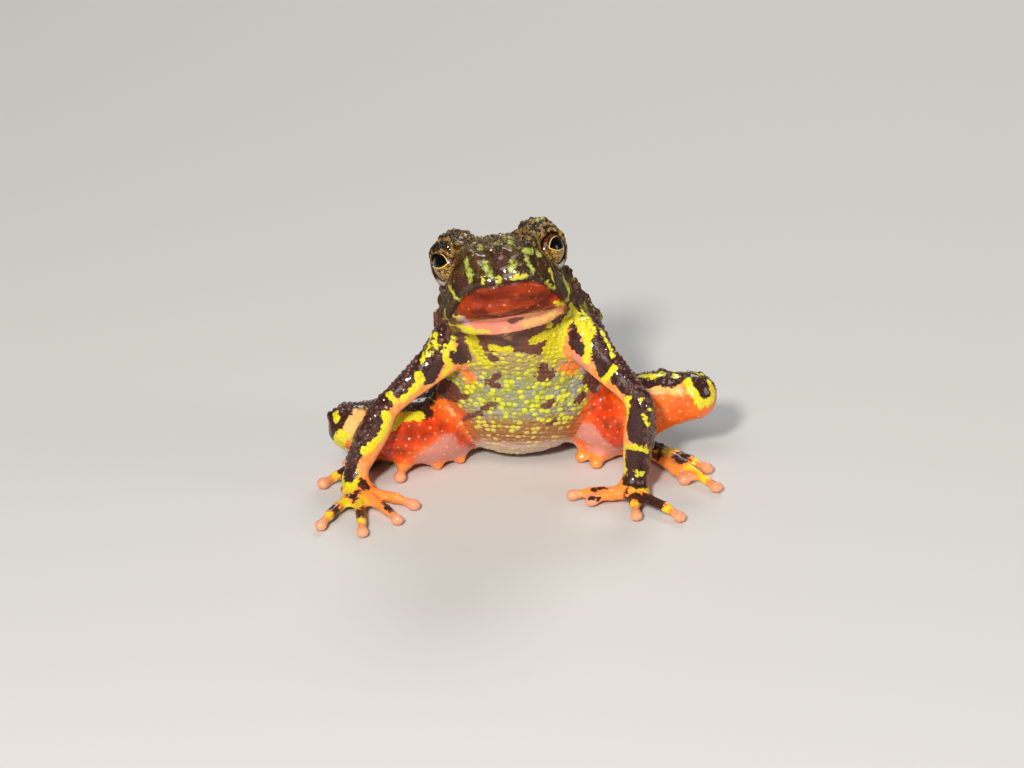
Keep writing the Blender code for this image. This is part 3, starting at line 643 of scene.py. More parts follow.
@dataclass
class Skin:
    """The whole of the flesh as one closed skin, with the forms that are too fine for the solids."""

    anatomy: Anatomy
    merge: float = 0.001
    swell: float = 0.2
    voxel: float = 0.17
    softening: int = 2
    seam_reach: int = 8
    seam_rounds: int = 30
    face_back: float = -2.6
    face_low: float = -6.2
    face_high: float = 3.4
    face_side: float = 5.6
    lip_depth: float = 0.13
    crease_width: float = 0.1
    lip_offset: float = 0.32
    lip_width: float = 0.2
    lip_share: float = 0.4
    mouth_end: Span = (-3.2, -2.0)
    lid_shift: float = 0.07
    lid_edge: float = 0.1
    lid_width: float = 0.22
    lid_reach: Span = (0.25, 0.95)
    lid_above: Span = (0.25, 0.8)
    lid_front: Span = (0.1, 0.6)
    brow_drop: tuple[float, float] = (0.12, 0.75)
    front_draw: tuple[float, float] = (0.3, 0.38)
    inward: tuple[float, float] = (0.75, 0.66)
    wrinkle: float = 0.045
    wrinkle_pitch: float = 0.32
    wrinkle_start: Span = (0.15, 0.3)
    wrinkle_end: Span = (0.9, 1.5)
    nostril_depth: float = 0.16
    nostril_rim: float = 0.05
    nostril_ring: tuple[float, float] = (1.7, 0.6)
    joint_rise: float = 0.05
    pad_neck: tuple[float, float] = (0.95, 0.3)
    first_joint: tuple[float, float] = (1.75, 0.3)
    second_joint: tuple[float, float] = (3.1, 0.35)

    def build(self) -> Surface:
        """Makes the skin in millimetres.

        Returns:
            The skin's surface.
        """
        surface = Surface(self._fused())
        self._close_partings(surface)
        surface = self._refined(surface)
        self._fold(surface)
        self._carve_mouth(surface)
        self._shape_lids(surface)
        self._sink_nostrils(surface)
        self._swell_joints(surface)
        self._rest_on_floor(surface)
        return surface

    def _fused(self) -> bpy.types.Object:
        """Copies the solids, swells them until they meet, fuses them and draws the skin back in."""
        copies = []
        for name in self.anatomy.flesh:
            copy = self.anatomy.nodes[name].copy()
            copy.data = copy.data.copy()
            copy.parent = None
            copy.data.transform(Matrix.Scale(1 / METRE, 4))
            bpy.context.scene.collection.objects.link(copy)
            for key in list(copy.keys()):
                del copy[key]
            copies.append(copy)
        Bench.pick(*copies)
        bpy.ops.object.join()
        skin = copies[0]
        with Bench.editing(skin):
            bpy.ops.mesh.select_all(action="SELECT")
            bpy.ops.mesh.remove_doubles(threshold=self.merge)
        Bench.modify(skin, "DISPLACE", strength=self.swell, mid_level=0)
        Bench.modify(skin, "REMESH", mode="VOXEL", voxel_size=self.voxel)
        self._drop_hollows(skin)
        Bench.modify(skin, "SMOOTH", factor=0.5, iterations=self.softening)
        Bench.modify(skin, "DISPLACE", strength=-self.swell, mid_level=0)
        Bench.modify(skin, "SMOOTH", factor=0.5, iterations=self.softening)
        return skin

    def _drop_hollows(self, skin: bpy.types.Object) -> None:
        """Deletes the small hollows that fusing leaves inside, so that one closed surface stays."""
        with Bench.editing(skin):
            bpy.ops.mesh.select_all(action="DESELECT")
        max(skin.data.vertices, key=lambda vertex: vertex.co.z).select = True
        with Bench.editing(skin):
            bpy.ops.mesh.select_linked()
            bpy.ops.mesh.select_all(action="INVERT")
            bpy.ops.mesh.delete(type="VERT")

    def _close_partings(self, surface: Surface) -> None:
        """Smooths the skin where two solids meet, so that no seam is left."""
        labels = self.anatomy.label(surface.points)
        first, second = surface.edges.T
        seam = np.zeros(len(labels))
        apart = labels[first] != labels[second]
        seam[first[apart]] = 1
        seam[second[apart]] = 1
        near = np.clip(surface.spread(seam, self.seam_reach) * 5, 0, 1)
        surface.relax(near, self.seam_rounds)

    def _refined(self, surface: Surface) -> Surface:
        """Divides the faces of the face and throat once more, for the lids and lips."""
        place = self.anatomy.head_place(surface.points)
        in_face = (place[:, 0] > self.face_back) & (np.abs(place[:, 1]) < self.face_side)
        in_face &= (place[:, 2] > self.face_low) & (place[:, 2] < self.face_high)
        mesh = surface.obj.data
        mesh.vertices.foreach_set("select", in_face)
        mesh.edges.foreach_set("select", in_face[surface.edges].all(axis=1))
        for face in mesh.polygons:
            face.select = all(in_face[corner] for corner in face.vertices)
        with Bench.editing(surface.obj):
            bpy.ops.mesh.subdivide(number_cuts=1, smoothness=0)
        finer = Surface(surface.obj)
        finer.relax(np.full(len(finer.points), 0.5), 1)
        return finer

    def _fold(self, surface: Surface) -> None:
        """Raises the ridges and sinks the furrows that the photograph shows."""
        labels = self.anatomy.label(surface.points)
        rise = np.zeros(len(labels))
        for region, folds in FOLDS.items():
            allowed = np.isin(labels, [self.anatomy.flesh.index(name) for name in region.value])
            for width, height, pixels in folds.values():
                line = np.array([self.anatomy.seen_at(pixel, region) for pixel in pixels])
                rise += allowed * height * bell(line_distance(surface.points, line), 0, width)
        surface.push(rise, surface.spread(surface.normals, 10))

    def _carve_mouth(self, surface: Surface) -> None:
        """Draws the line of the mouth as a crease with a rounded lip on each side."""
        place = self.anatomy.head_place(surface.points)
        distance = line_distance(place[:, [0, 2]], MOUTH_LINE)
        crease = bell(distance, 0, self.crease_width) * self.lip_depth
        lips = bell(distance, self.lip_offset, self.lip_width) * self.lip_depth * self.lip_share
        on_face = smooth_step(*self.mouth_end, place[:, 0])
        steady = surface.spread(surface.normals, 6)
        surface.push((lips - crease) * on_face, steady)

    def _shape_lids(self, surface: Surface) -> None:
        """Closes the lids on the eyeballs and folds the skin round them."""
        place = self.anatomy.head_place(surface.points)
        radius = self.anatomy.eye_radius
        for side, centre in self.anatomy.eyes.items():
            self._slide_lids(surface, side, np.array(centre))
            offset = surface.points - np.array(centre)
            distance = np.linalg.norm(offset, axis=1)
            rim = distance - radius
            outward = offset / distance[:, None]
            closing = -self.lid_shift * bell(rim, self.lid_edge, self.lid_width)
            surface.points += outward * closing[:, None]
            height = (place[:, 2] - self.anatomy.head_place(np.array([centre]))[0, 2]) / radius
            fold = np.sin(math.tau * rim / self.wrinkle_pitch + 2.2 * np.sin(place[:, 0] * 1.7 + side))
            reach = smooth_step(*self.wrinkle_start, rim) * (1 - smooth_step(*self.wrinkle_end, rim))
            depth = fold * reach * self.wrinkle * (0.6 + 0.4 * np.tanh(height))
            surface.points += surface.normals * depth[:, None]
        surface.write()

    def _slide_lids(self, surface: Surface, side: int, centre: np.ndarray) -> None:
        """Slides the brow down over the eyeball and the front lid off it, along the ball's surface."""
        offset = surface.points - centre
        distance = np.linalg.norm(offset, axis=1)
        outward = offset / distance[:, None]
        near = 1 - smooth_step(*self.lid_reach, distance - self.anatomy.eye_radius)
        up = np.array(self.anatomy.up)
        ahead, across = self.inward
        inward = np.array(self.anatomy.forward * ahead - self.anatomy.side * side * across)
        upper = smooth_step(*self.lid_above, outward @ up)
        front = smooth_step(*self.lid_front, outward @ inward) * (1 - upper)
        index = 0 if side > 0 else 1
        drop = up * -self.brow_drop[index]
        draw = inward * self.front_draw[index]
        moved = offset + (near * upper)[:, None] * drop + (near * front)[:, None] * draw
        moved *= (distance / np.linalg.norm(moved, axis=1))[:, None]
        surface.points = centre + moved

    def _sink_nostrils(self, surface: Surface) -> None:
        """Deepens both nostrils."""
        forward, side, up = NOSTRIL
        for way in (-1, 1):
            guess = self.anatomy.head_point(forward, way * side, up)
            at = np.array(self.anatomy.trees[Region.HEAD].find_nearest(guess)[0])
            near = np.linalg.norm(surface.points - at, axis=1) / NOSTRIL_WIDTH
            steady = surface.spread(surface.normals, 8)
            rim = self.nostril_rim * bell(near, *self.nostril_ring)
            surface.push(rim - self.nostril_depth * bell(near, 0, 1), steady)

    def _swell_joints(self, surface: Surface) -> None:
        """Gives the digits their joints and rounds their pads."""
        tip = tip_distance(surface.points)
        labels = self.anatomy.label(surface.points)
        paws = [i for i, name in enumerate(self.anatomy.flesh) if name.startswith(("hand_", "foot_"))]
        joint = bell(tip, *self.first_joint) + 0.8 * bell(tip, *self.second_joint)
        neck = bell(tip, *self.pad_neck)
        surface.push((self.joint_rise * joint - self.joint_rise * neck) * np.isin(labels, paws))

    def _rest_on_floor(self, surface: Surface) -> None:
        """Keeps the skin from sinking below the floor of the solids' box."""
        low = min(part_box(name)[0].z for name in self.anatomy.flesh) / METRE
        surface.points[:, 2] = np.maximum(surface.points[:, 2], low)
        surface.write()


def tip_distance(points: np.ndarray) -> np.ndarray:
    """The distance from each point to the nearest tip of a finger or toe."""
    tips = [np.array((*tip, DIGIT_RISE)) for paw in PAWS for tip in paw.tips]
    return np.min([np.linalg.norm(points - tip, axis=1) for tip in tips], axis=0)


def digit_distance(points: np.ndarray, dark: bool) -> np.ndarray:
    """The distance over the floor from each point to the nearest digit that is, or isn't, dark."""
    lines = [
        np.array((paw.palm, tip))
        for paw in PAWS
        for index, tip in enumerate(paw.tips)
        if (index in paw.dark) == dark
    ]
    return np.min([line_distance(points[:, :2], line) for line in lines], axis=0)


class Pattern:
    """The markings and zones of the skin, as numbers that its finish reads."""

    reach: float = 1.5
    membership: float = 0.3
    far: float = 9.0
    share_rounds: int = 8
    normal_rounds: int = 14
    front: Span = (0.05, 0.42)
    thigh_front: Span = (-0.1, 0.2)
    inner_arm: Span = (-0.15, 0.2)
    foot_under: Span = (0.1, 0.5)
    toe_length: Span = (2.4, 4.2)
    foot_outside: Span = (7.0, 8.5)
    band_edge: Span = (-0.25, 0.25)
    steep: Span = (0.45, 0.85)
    face_end: Span = (-3.0, -2.2)
    nape: Span = (0.5, 2.5)
    snout: Span = (2.4, 3.6)
    left_of_chin: Span = (0.4, 1.6)
    belly_top: Span = (10.5, 11.1)
    belly_rim: Span = (0.45, 1.25)
    throat_side: Span = (3.55, 3.95)
    throat_foot: Span = (-5.6, -5.3)
    roll_top: Span = (-4.6, -4.15)
    mouth_width: float = 0.13

    def __init__(self, anatomy: Anatomy, skin: Surface) -> None:
        """Works out the zones of the skin.

        Args:
            anatomy: The body under the skin.
            skin: The finished skin.
        """
        self.anatomy = anatomy
        self.skin = skin
        labels = anatomy.label(skin.points)
        rows = np.eye(len(anatomy.flesh))[labels]
        self.share = skin.spread(rows, self.share_rounds)
        self.normals = skin.spread(skin.normals, self.normal_rounds)
        self.normals /= np.maximum(np.linalg.norm(self.normals, axis=1), 1e-9)[:, None]
        self.tree = KDTree(len(skin.points))
        for index, point in enumerate(skin.points):
            self.tree.insert(point, index)
        self.tree.balance()
        self.lines = [
            (region, tone, width, np.array([anatomy.seen_at(pixel, region) for pixel in line]))
            for (region, tone), strokes in MARKS.items()
            for width, line in strokes.values()
        ]
        self.zones = self._zones()

    def part(self, *names: str) -> np.ndarray:
        """How far each point of the skin belongs to these solids, from 0 to 1."""
        return sum(self.share[:, self.anatomy.flesh.index(name)] for name in names)

    def _zones(self) -> dict[str, np.ndarray]:
        """The zones of the skin, each a number from 0 to 1 for each point."""
        points = self.skin.points
        normals = self.normals
        torso = self.part("torso")
        jaw = self.part("lower_jaw")
        head = self.part("head")
        thighs = self.part("thigh_left", "thigh_right")
        shanks = self.part("shank_left", "shank_right")
        feet = self.part("foot_left", "foot_right")
        hands = self.part("hand_left", "hand_right")
        arms = self.part("upper_arm_left", "upper_arm_right", "forearm_left", "forearm_right")
        ahead = -normals[:, 1]
        front = smooth_step(*self.front, ahead - 0.2 * normals[:, 2])
        below = 1 - smooth_step(*self.belly_top, points[:, 2] + 0.012 * points[:, 0] ** 2)
        belly = torso * front * below
        rim = belly * (1 - smooth_step(*self.belly_rim, self._leg_distance(points, belly > 0)))
        side = np.sign(points[:, 0])
        inward = normals @ np.array([0, -0.25, -0.75]) - 0.62 * side * normals[:, 0]
        inner = smooth_step(*self.inner_arm, inward)
        thigh_front = smooth_step(*self.thigh_front, ahead - 0.75 * normals[:, 2] + 0.25)
        tip = tip_distance(points)
        foot_under = smooth_step(*self.foot_under, 0.25 - normals[:, 2])
        foot_warm = np.maximum(foot_under, 1 - smooth_step(*self.toe_length, tip))
        warm = arms * inner + thighs * thigh_front + hands + feet * foot_warm
        plain, dark = digit_distance(points, False), digit_distance(points, True)
        head_place = self.anatomy.head_place(points)
        rims = [
            np.linalg.norm(points - np.array(centre), axis=1) - self.anatomy.eye_radius
            for centre in self.anatomy.eyes.values()
        ]
        mouth = line_distance(head_place[:, [0, 2]], MOUTH_LINE)
        on_face = smooth_step(*self.face_end, head_place[:, 0]) * np.clip(head + jaw, 0, 1)
        back = torso * (1 - front) + shanks + thighs * (1 - thigh_front) + feet * (1 - foot_warm)
        back += head * smooth_step(*self.nape, -head_place[:, 0])
        below_furrow = 1 - smooth_step(*self.roll_top, head_place[:, 2] - 0.012 * head_place[:, 1] ** 2)
        throat = jaw * (1 - smooth_step(*self.throat_side, np.abs(head_place[:, 1] - 0.3)))
        throat *= smooth_step(*self.throat_foot, head_place[:, 2])
        sides = smooth_step(*self.steep, np.abs(normals[:, 0])) * np.clip(head + jaw + torso, 0, 1)
        snout = head * 0.35 * smooth_step(*self.snout, head_place[:, 0])
        outside = smooth_step(*self.foot_outside, np.abs(points[:, 0]))
        return {
            "belly": belly,
            "rim": rim,
            "throat": throat,
            "roll": throat * below_furrow,
            "left": smooth_step(*self.left_of_chin, head_place[:, 1]),
            "sides": sides,
            "plum": np.clip(torso * front * (1 - below) + jaw + snout, 0, 1),
            "arm": np.clip(arms, 0, 1),
            "pad": np.clip(hands + feet * outside, 0, 1),
            "banded": smooth_step(*self.band_edge, plain - dark),
            "warm": np.clip(warm, 0, 1),
            "mottle": np.clip(back, 0, 1),
            "head": np.clip(head + 0.35 * jaw, 0, 1),
            "digit": np.clip(hands + feet, 0, 1),
            "tip": tip,
            "lid": np.minimum(*rims),
            "lid_height": head_place[:, 2],
            # The mouth's crease, which the finish paints dark as shade.
            "mouth": bell(mouth, 0, self.mouth_width) * on_face,
        }

    def _leg_distance(self, points: np.ndarray, wanted: np.ndarray) -> np.ndarray:
        """The distance from each wanted point to the nearer leg, and a large one for the others."""
        trees = [self.anatomy.trees[Region.LEFT_LEG], self.anatomy.trees[Region.RIGHT_LEG]]
        distance = np.full(len(points), self.far)
        for index in np.flatnonzero(wanted):
            distance[index] = min(tree.find_nearest(Vector(points[index]))[3] for tree in trees)
        return distance

    def _marks(self, points: np.ndarray, roots: np.ndarray) -> dict[Tone, np.ndarray]:
        """How deep each point lies inside the markings of each tone, in millimetres.

        Args:
            points: The places to look at.
            roots: The nearest point of the skin to each, by index.

        Returns:
            One depth for each point and tone, negative outside the markings.
        """
        depths = {tone: np.full(len(points), -self.reach) for tone in Tone}
        inside = {region: self.part(*region.value)[roots] > self.membership for region in Region}
        for region, tone, width, line in self.lines:
            depth = np.where(inside[region], width / 2 - line_distance(points, line), -self.reach)
            depths[tone] = np.maximum(depths[tone], depth)
        return depths

    def paint(self, surface: Surface, at: np.ndarray | None = None) -> None:
        """Stores the zones and markings on a mesh.

        Args:
            surface: The mesh.
            at: For each of its points, the place whose colour it takes, or None for its own.
        """
        points = surface.points if at is None else at
        if surface is self.skin:
            roots = np.arange(len(points))
        else:
            roots = np.array([self.tree.find(point)[1] for point in points])
        for name, values in self.zones.items():
            surface.store(name, values[roots])
        for tone, depth in self._marks(points, roots).items():
            surface.store(tone.value, depth)


@dataclass
class Granules:
    """Small wet domes set close on one zone of the skin, joined into one piece."""

    name: str
    slot: str
    spacing: float
    radii: tuple[float, float]
    height: float
    stretch: float = 1.0
    row_pitch: float = 0.0
    seed: int = 1
    sunk: float = 0.12
    flare: float = 1.3
    tries: int = 7
    row_share: float = 0.2
    most: int = 6000

    def _dome(self) -> tuple[np.ndarray, np.ndarray]:
        """The points and triangles of one dome of radius 1, with a flared foot."""
        bpy.ops.object.select_all(action="DESELECT")
        bpy.ops.mesh.primitive_uv_sphere_add(segments=10, ring_count=8, radius=1)
        dome = bpy.context.object
        with Bench.editing(dome):
            bpy.ops.mesh.select_all(action="SELECT")
            bpy.ops.mesh.bisect(plane_co=(0, 0, 0.02), plane_no=(0, 0, 1), clear_inner=True)
            bpy.ops.mesh.select_non_manifold()
            bpy.ops.transform.resize(value=(self.flare, self.flare, 1), center_override=(0, 0, 0))
            bpy.ops.mesh.select_all(action="SELECT")
            bpy.ops.mesh.quads_convert_to_tris()
        points = np.array([vertex.co for vertex in dome.data.vertices])
        faces = np.array([list(face.vertices) for face in dome.data.polygons])
        bpy.data.objects.remove(dome)
        return points, faces

    def _roots(self, skin: Surface, weight: np.ndarray) -> tuple[np.ndarray, np.ndarray]:
        """Places and directions for the domes, spread evenly where the weight is high."""
        draw = np.random.default_rng(self.seed)
        mesh = skin.obj.data
        mesh.calc_loop_triangles()
        corners = np.zeros(len(mesh.loop_triangles) * 3, np.int64)
        mesh.loop_triangles.foreach_get("vertices", corners)
        corners = corners.reshape(-1, 3)
        a, b, c = (skin.points[corners[:, k]] for k in range(3))
        chance = np.linalg.norm(np.cross(b - a, c - a), axis=1) / 2 * weight[corners].mean(axis=1)
        wanted = int(self.tries * chance.sum() / self.spacing**2)
        chosen = draw.choice(len(corners), size=wanted, p=chance / chance.sum())
        shares = draw.dirichlet((1, 1, 1), size=wanted)
        places = np.einsum("nk,nkd->nd", shares, skin.points[corners[chosen]])
        outward = np.einsum("nk,nkd->nd", shares, skin.normals[corners[chosen]])
        if self.row_pitch:
            lift = math.radians(CAMERA_LIFT)
            rise = places @ np.array([0, math.sin(lift), math.cos(lift)]) + 0.1 * np.sin(places[:, 0] * 0.9)
            keep = np.abs((rise / self.row_pitch) % 1 - 0.5) < self.row_share
            places, outward = places[keep], outward[keep]
        kept = self._apart(places)[: self.most]
        outward = outward[kept] / np.linalg.norm(outward[kept], axis=1)[:, None]
        return places[kept], outward

    def _apart(self, places: np.ndarray) -> list[int]:
        """The indices of places that keep at least the spacing from one another."""
        cells: dict[tuple[int, int, int], list[int]] = {}
        kept = []
        for index, place in enumerate(places):
            cell = tuple(int(v) for v in np.floor(place / self.spacing))
            near = [
                other
                for x in (-1, 0, 1)
                for y in (-1, 0, 1)
                for z in (-1, 0, 1)
                for other in cells.get((cell[0] + x, cell[1] + y, cell[2] + z), ())
            ]
            if all(((places[other] - place) ** 2).sum() > self.spacing**2 for other in near):
                cells.setdefault(cell, []).append(index)
                kept.append(index)
        return kept

    def build(self, pattern: Pattern, weight: np.ndarray, material: bpy.types.Material) -> None:
        """Makes the piece.

        Args:
            pattern: The markings, which the domes share with the skin.
            weight: How likely each point of the skin is to carry domes, from 0 to 1.
            material: The skin's finish.
        """
        places, outward = self._roots(pattern.skin, weight)
        dome, faces = self._dome()
        draw = np.random.default_rng(self.seed + 1)
        count = len(places)
        size = draw.uniform(*self.radii, count)
        across = np.cross(outward, (0.02, 0.1, 1.0))
        across /= np.linalg.norm(across, axis=1)[:, None]
        along = np.cross(outward, across)
        points = (
            places[:, None, :]
            + across[:, None, :] * (dome[None, :, 0] * size[:, None] * self.stretch)[..., None]
            + along[:, None, :] * (dome[None, :, 1] * size[:, None])[..., None]
            + outward[:, None, :] * ((dome[None, :, 2] * self.height - self.sunk) * size[:, None])[..., None]
        )
        joined = (faces[None] + (np.arange(count) * len(dome))[:, None, None]).reshape(-1, 3)
        mesh = bpy.data.meshes.new(self.name)
        mesh.from_pydata(points.reshape(-1, 3).tolist(), [], joined.tolist())
        piece = bpy.data.objects.new(self.name, mesh)
        bpy.context.scene.collection.objects.link(piece)
        surface = Surface(piece)
        pattern.paint(surface, np.repeat(places, len(dome), axis=0))
        low, high = self.radii
        share = 0.75 * (size - low) / (high - low) + draw.uniform(0.05, 0.25, count)
        surface.store("grain", np.repeat(share, len(dome)))
        Bench.place(piece, self.name, material, self.slot)


class Number:
    """A number socket, on which Python's operators add Math nodes."""

    def __init__(self, shader: Shader, socket: Socket) -> None:
        """Wraps a socket of a shader's tree."""
        self.shader = shader
        self.socket = socket

    def _math(self, operation: str, *values: Number | float) -> Number:
        """The result of a Math node on values."""
        node = self.shader.node("ShaderNodeMath", {"operation": operation}, dict(enumerate(values)))
        return Number(self.shader, node.outputs[0])

    def __add__(self, other: Number | float) -> Number:
        """The sum."""
        return self._math("ADD", self, other)

    def __radd__(self, other: float) -> Number:
        """The sum, with the number first."""
        return self._math("ADD", other, self)

    def __sub__(self, other: Number | float) -> Number:
        """The difference."""
        return self._math("SUBTRACT", self, other)

    def __rsub__(self, other: float) -> Number:
        """The difference, with the number first."""
        return self._math("SUBTRACT", other, self)

    def __mul__(self, other: Number | float) -> Number:
        """The product."""
        return self._math("MULTIPLY", self, other)

    def __rmul__(self, other: float) -> Number:
        """The product, with the number first."""
        return self._math("MULTIPLY", other, self)

    def sine(self) -> Number:
        """The sine."""
        return self._math("SINE", self)

    def step(self, low: float, high: float) -> Number:
        """Zero at low, one at high, and a smooth rise between them. Low may be the larger."""
        inputs = {"Value": self, "From Min": low, "From Max": high}
        settings = {"interpolation_type": "SMOOTHSTEP", "clamp": True}
        return Number(self.shader, self.shader.node("ShaderNodeMapRange", settings, inputs).outputs[0])


class Shader:
    """The node tree of one finish."""

    def __init__(self, name: str) -> None:
        """Starts a material with an empty Principled shader."""
        self.material = bpy.data.materials.new(name)
        self.material.use_nodes = True
        self.tree = self.material.node_tree
        self.surface = self.tree.nodes["Principled BSDF"]
        place = self.node("ShaderNodeTexCoord", {}, {}).outputs["Object"]
        self.place = self.vector("SCALE", place, Scale=1 / METRE)

    def node(
        self, kind: str, settings: dict[str, object], inputs: dict[str | int, object]
    ) -> bpy.types.Node:
        """Adds a node.

        Args:
            kind: The node's type.
            settings: Its properties, set first.
            inputs: The value or the link of each socket, by name or index.

        Returns:
            The node.
        """
        made = self.tree.nodes.new(kind)
        for name, value in settings.items():
            setattr(made, name, value)
        for key, value in inputs.items():
            self.feed(made.inputs[key], value)
        return made

    def feed(self, socket: Socket, value: object) -> None:
        """Links a socket to a value that is a socket itself, or sets it."""
        source = value.socket if isinstance(value, Number) else value
        if isinstance(source, Socket):
            self.tree.links.new(source, socket)
        elif isinstance(source, tuple) and len(source) == 3 and socket.type == "RGBA":
            socket.default_value = (*source, 1)
        else:
            socket.default_value = source

    def dress(self, values: dict[str, object]) -> None:
        """Links or sets sockets of the Principled shader."""
        for name, value in values.items():
            self.feed(self.surface.inputs[name], value)

    def vector(self, operation: str, *values: object, **named: object) -> Socket:
        """The result of a Vector Math node."""
        node = self.node("ShaderNodeVectorMath", {"operation": operation}, dict(enumerate(values)) | named)
        return node.outputs[0]

    def attribute(self, name: str) -> Number:
        """A number that the mesh carries."""
        return Number(self, self.node("ShaderNodeAttribute", {"attribute_name": name}, {}).outputs["Fac"])

    def noise(
        self, scale: float, detail: float = 3, roughness: float = 0.55, place: Socket | None = None
    ) -> Number:
        """Smooth noise from 0 to 1, with its scale per millimetre."""
        inputs = {"Vector": place or self.place, "Scale": scale, "Detail": detail, "Roughness": roughness}
        return Number(self, self.node("ShaderNodeTexNoise", {}, inputs).outputs[0])

    def cells(self, scale: float, feature: str = "F1", place: Socket | None = None) -> Number:
        """Distances in a cell pattern, with its scale per millimetre."""
        inputs = {"Vector": place or self.place, "Scale": scale}
        node = self.node("ShaderNodeTexVoronoi", {"feature": feature}, inputs)
        return Number(self, node.outputs["Distance"])

    def bent_place(self, scale: float, amount: float) -> Socket:
        """The place, shifted about by noise."""
        inputs = {"Vector": self.place, "Scale": scale, "Detail": 2.0}
        colour = self.node("ShaderNodeTexNoise", {}, inputs).outputs["Color"]
        shift = self.vector("SCALE", self.vector("SUBTRACT", colour, (0.5, 0.5, 0.5)), Scale=amount)
        return self.vector("ADD", self.place, shift)

    def mix(self, share: Number | float, first: object, second: object) -> Socket:
        """A colour between two colours."""
        node = self.node("ShaderNodeMix", {"data_type": "RGBA"}, {0: share, 6: first, 7: second})
        return node.outputs[2]

    def bump(self, height: Number) -> Socket:
        """A normal from a height in millimetres."""
        inputs = {"Height": height, "Distance": METRE, "Strength": 1.0}
        return self.node("ShaderNodeBump", {}, inputs).outputs[0]


class SkinShader(Shader):
    """The node tree of the skin, with the noises and beads that its colours share."""

    def __init__(self) -> None:
        """Starts the finish."""
        super().__init__("wet_skin")
        self.broad = self.noise(0.9, 4)
        self.rough = self.noise(2.6, 3)
        self.fine = self.noise(9, 3)
        self.wobble = (self.rough - 0.5) * 0.55 + (self.fine - 0.5) * 0.3 + (self.cells(3.4) - 0.4) * 0.2
        self.bead = self.attribute("grain").step(0, 0.05)


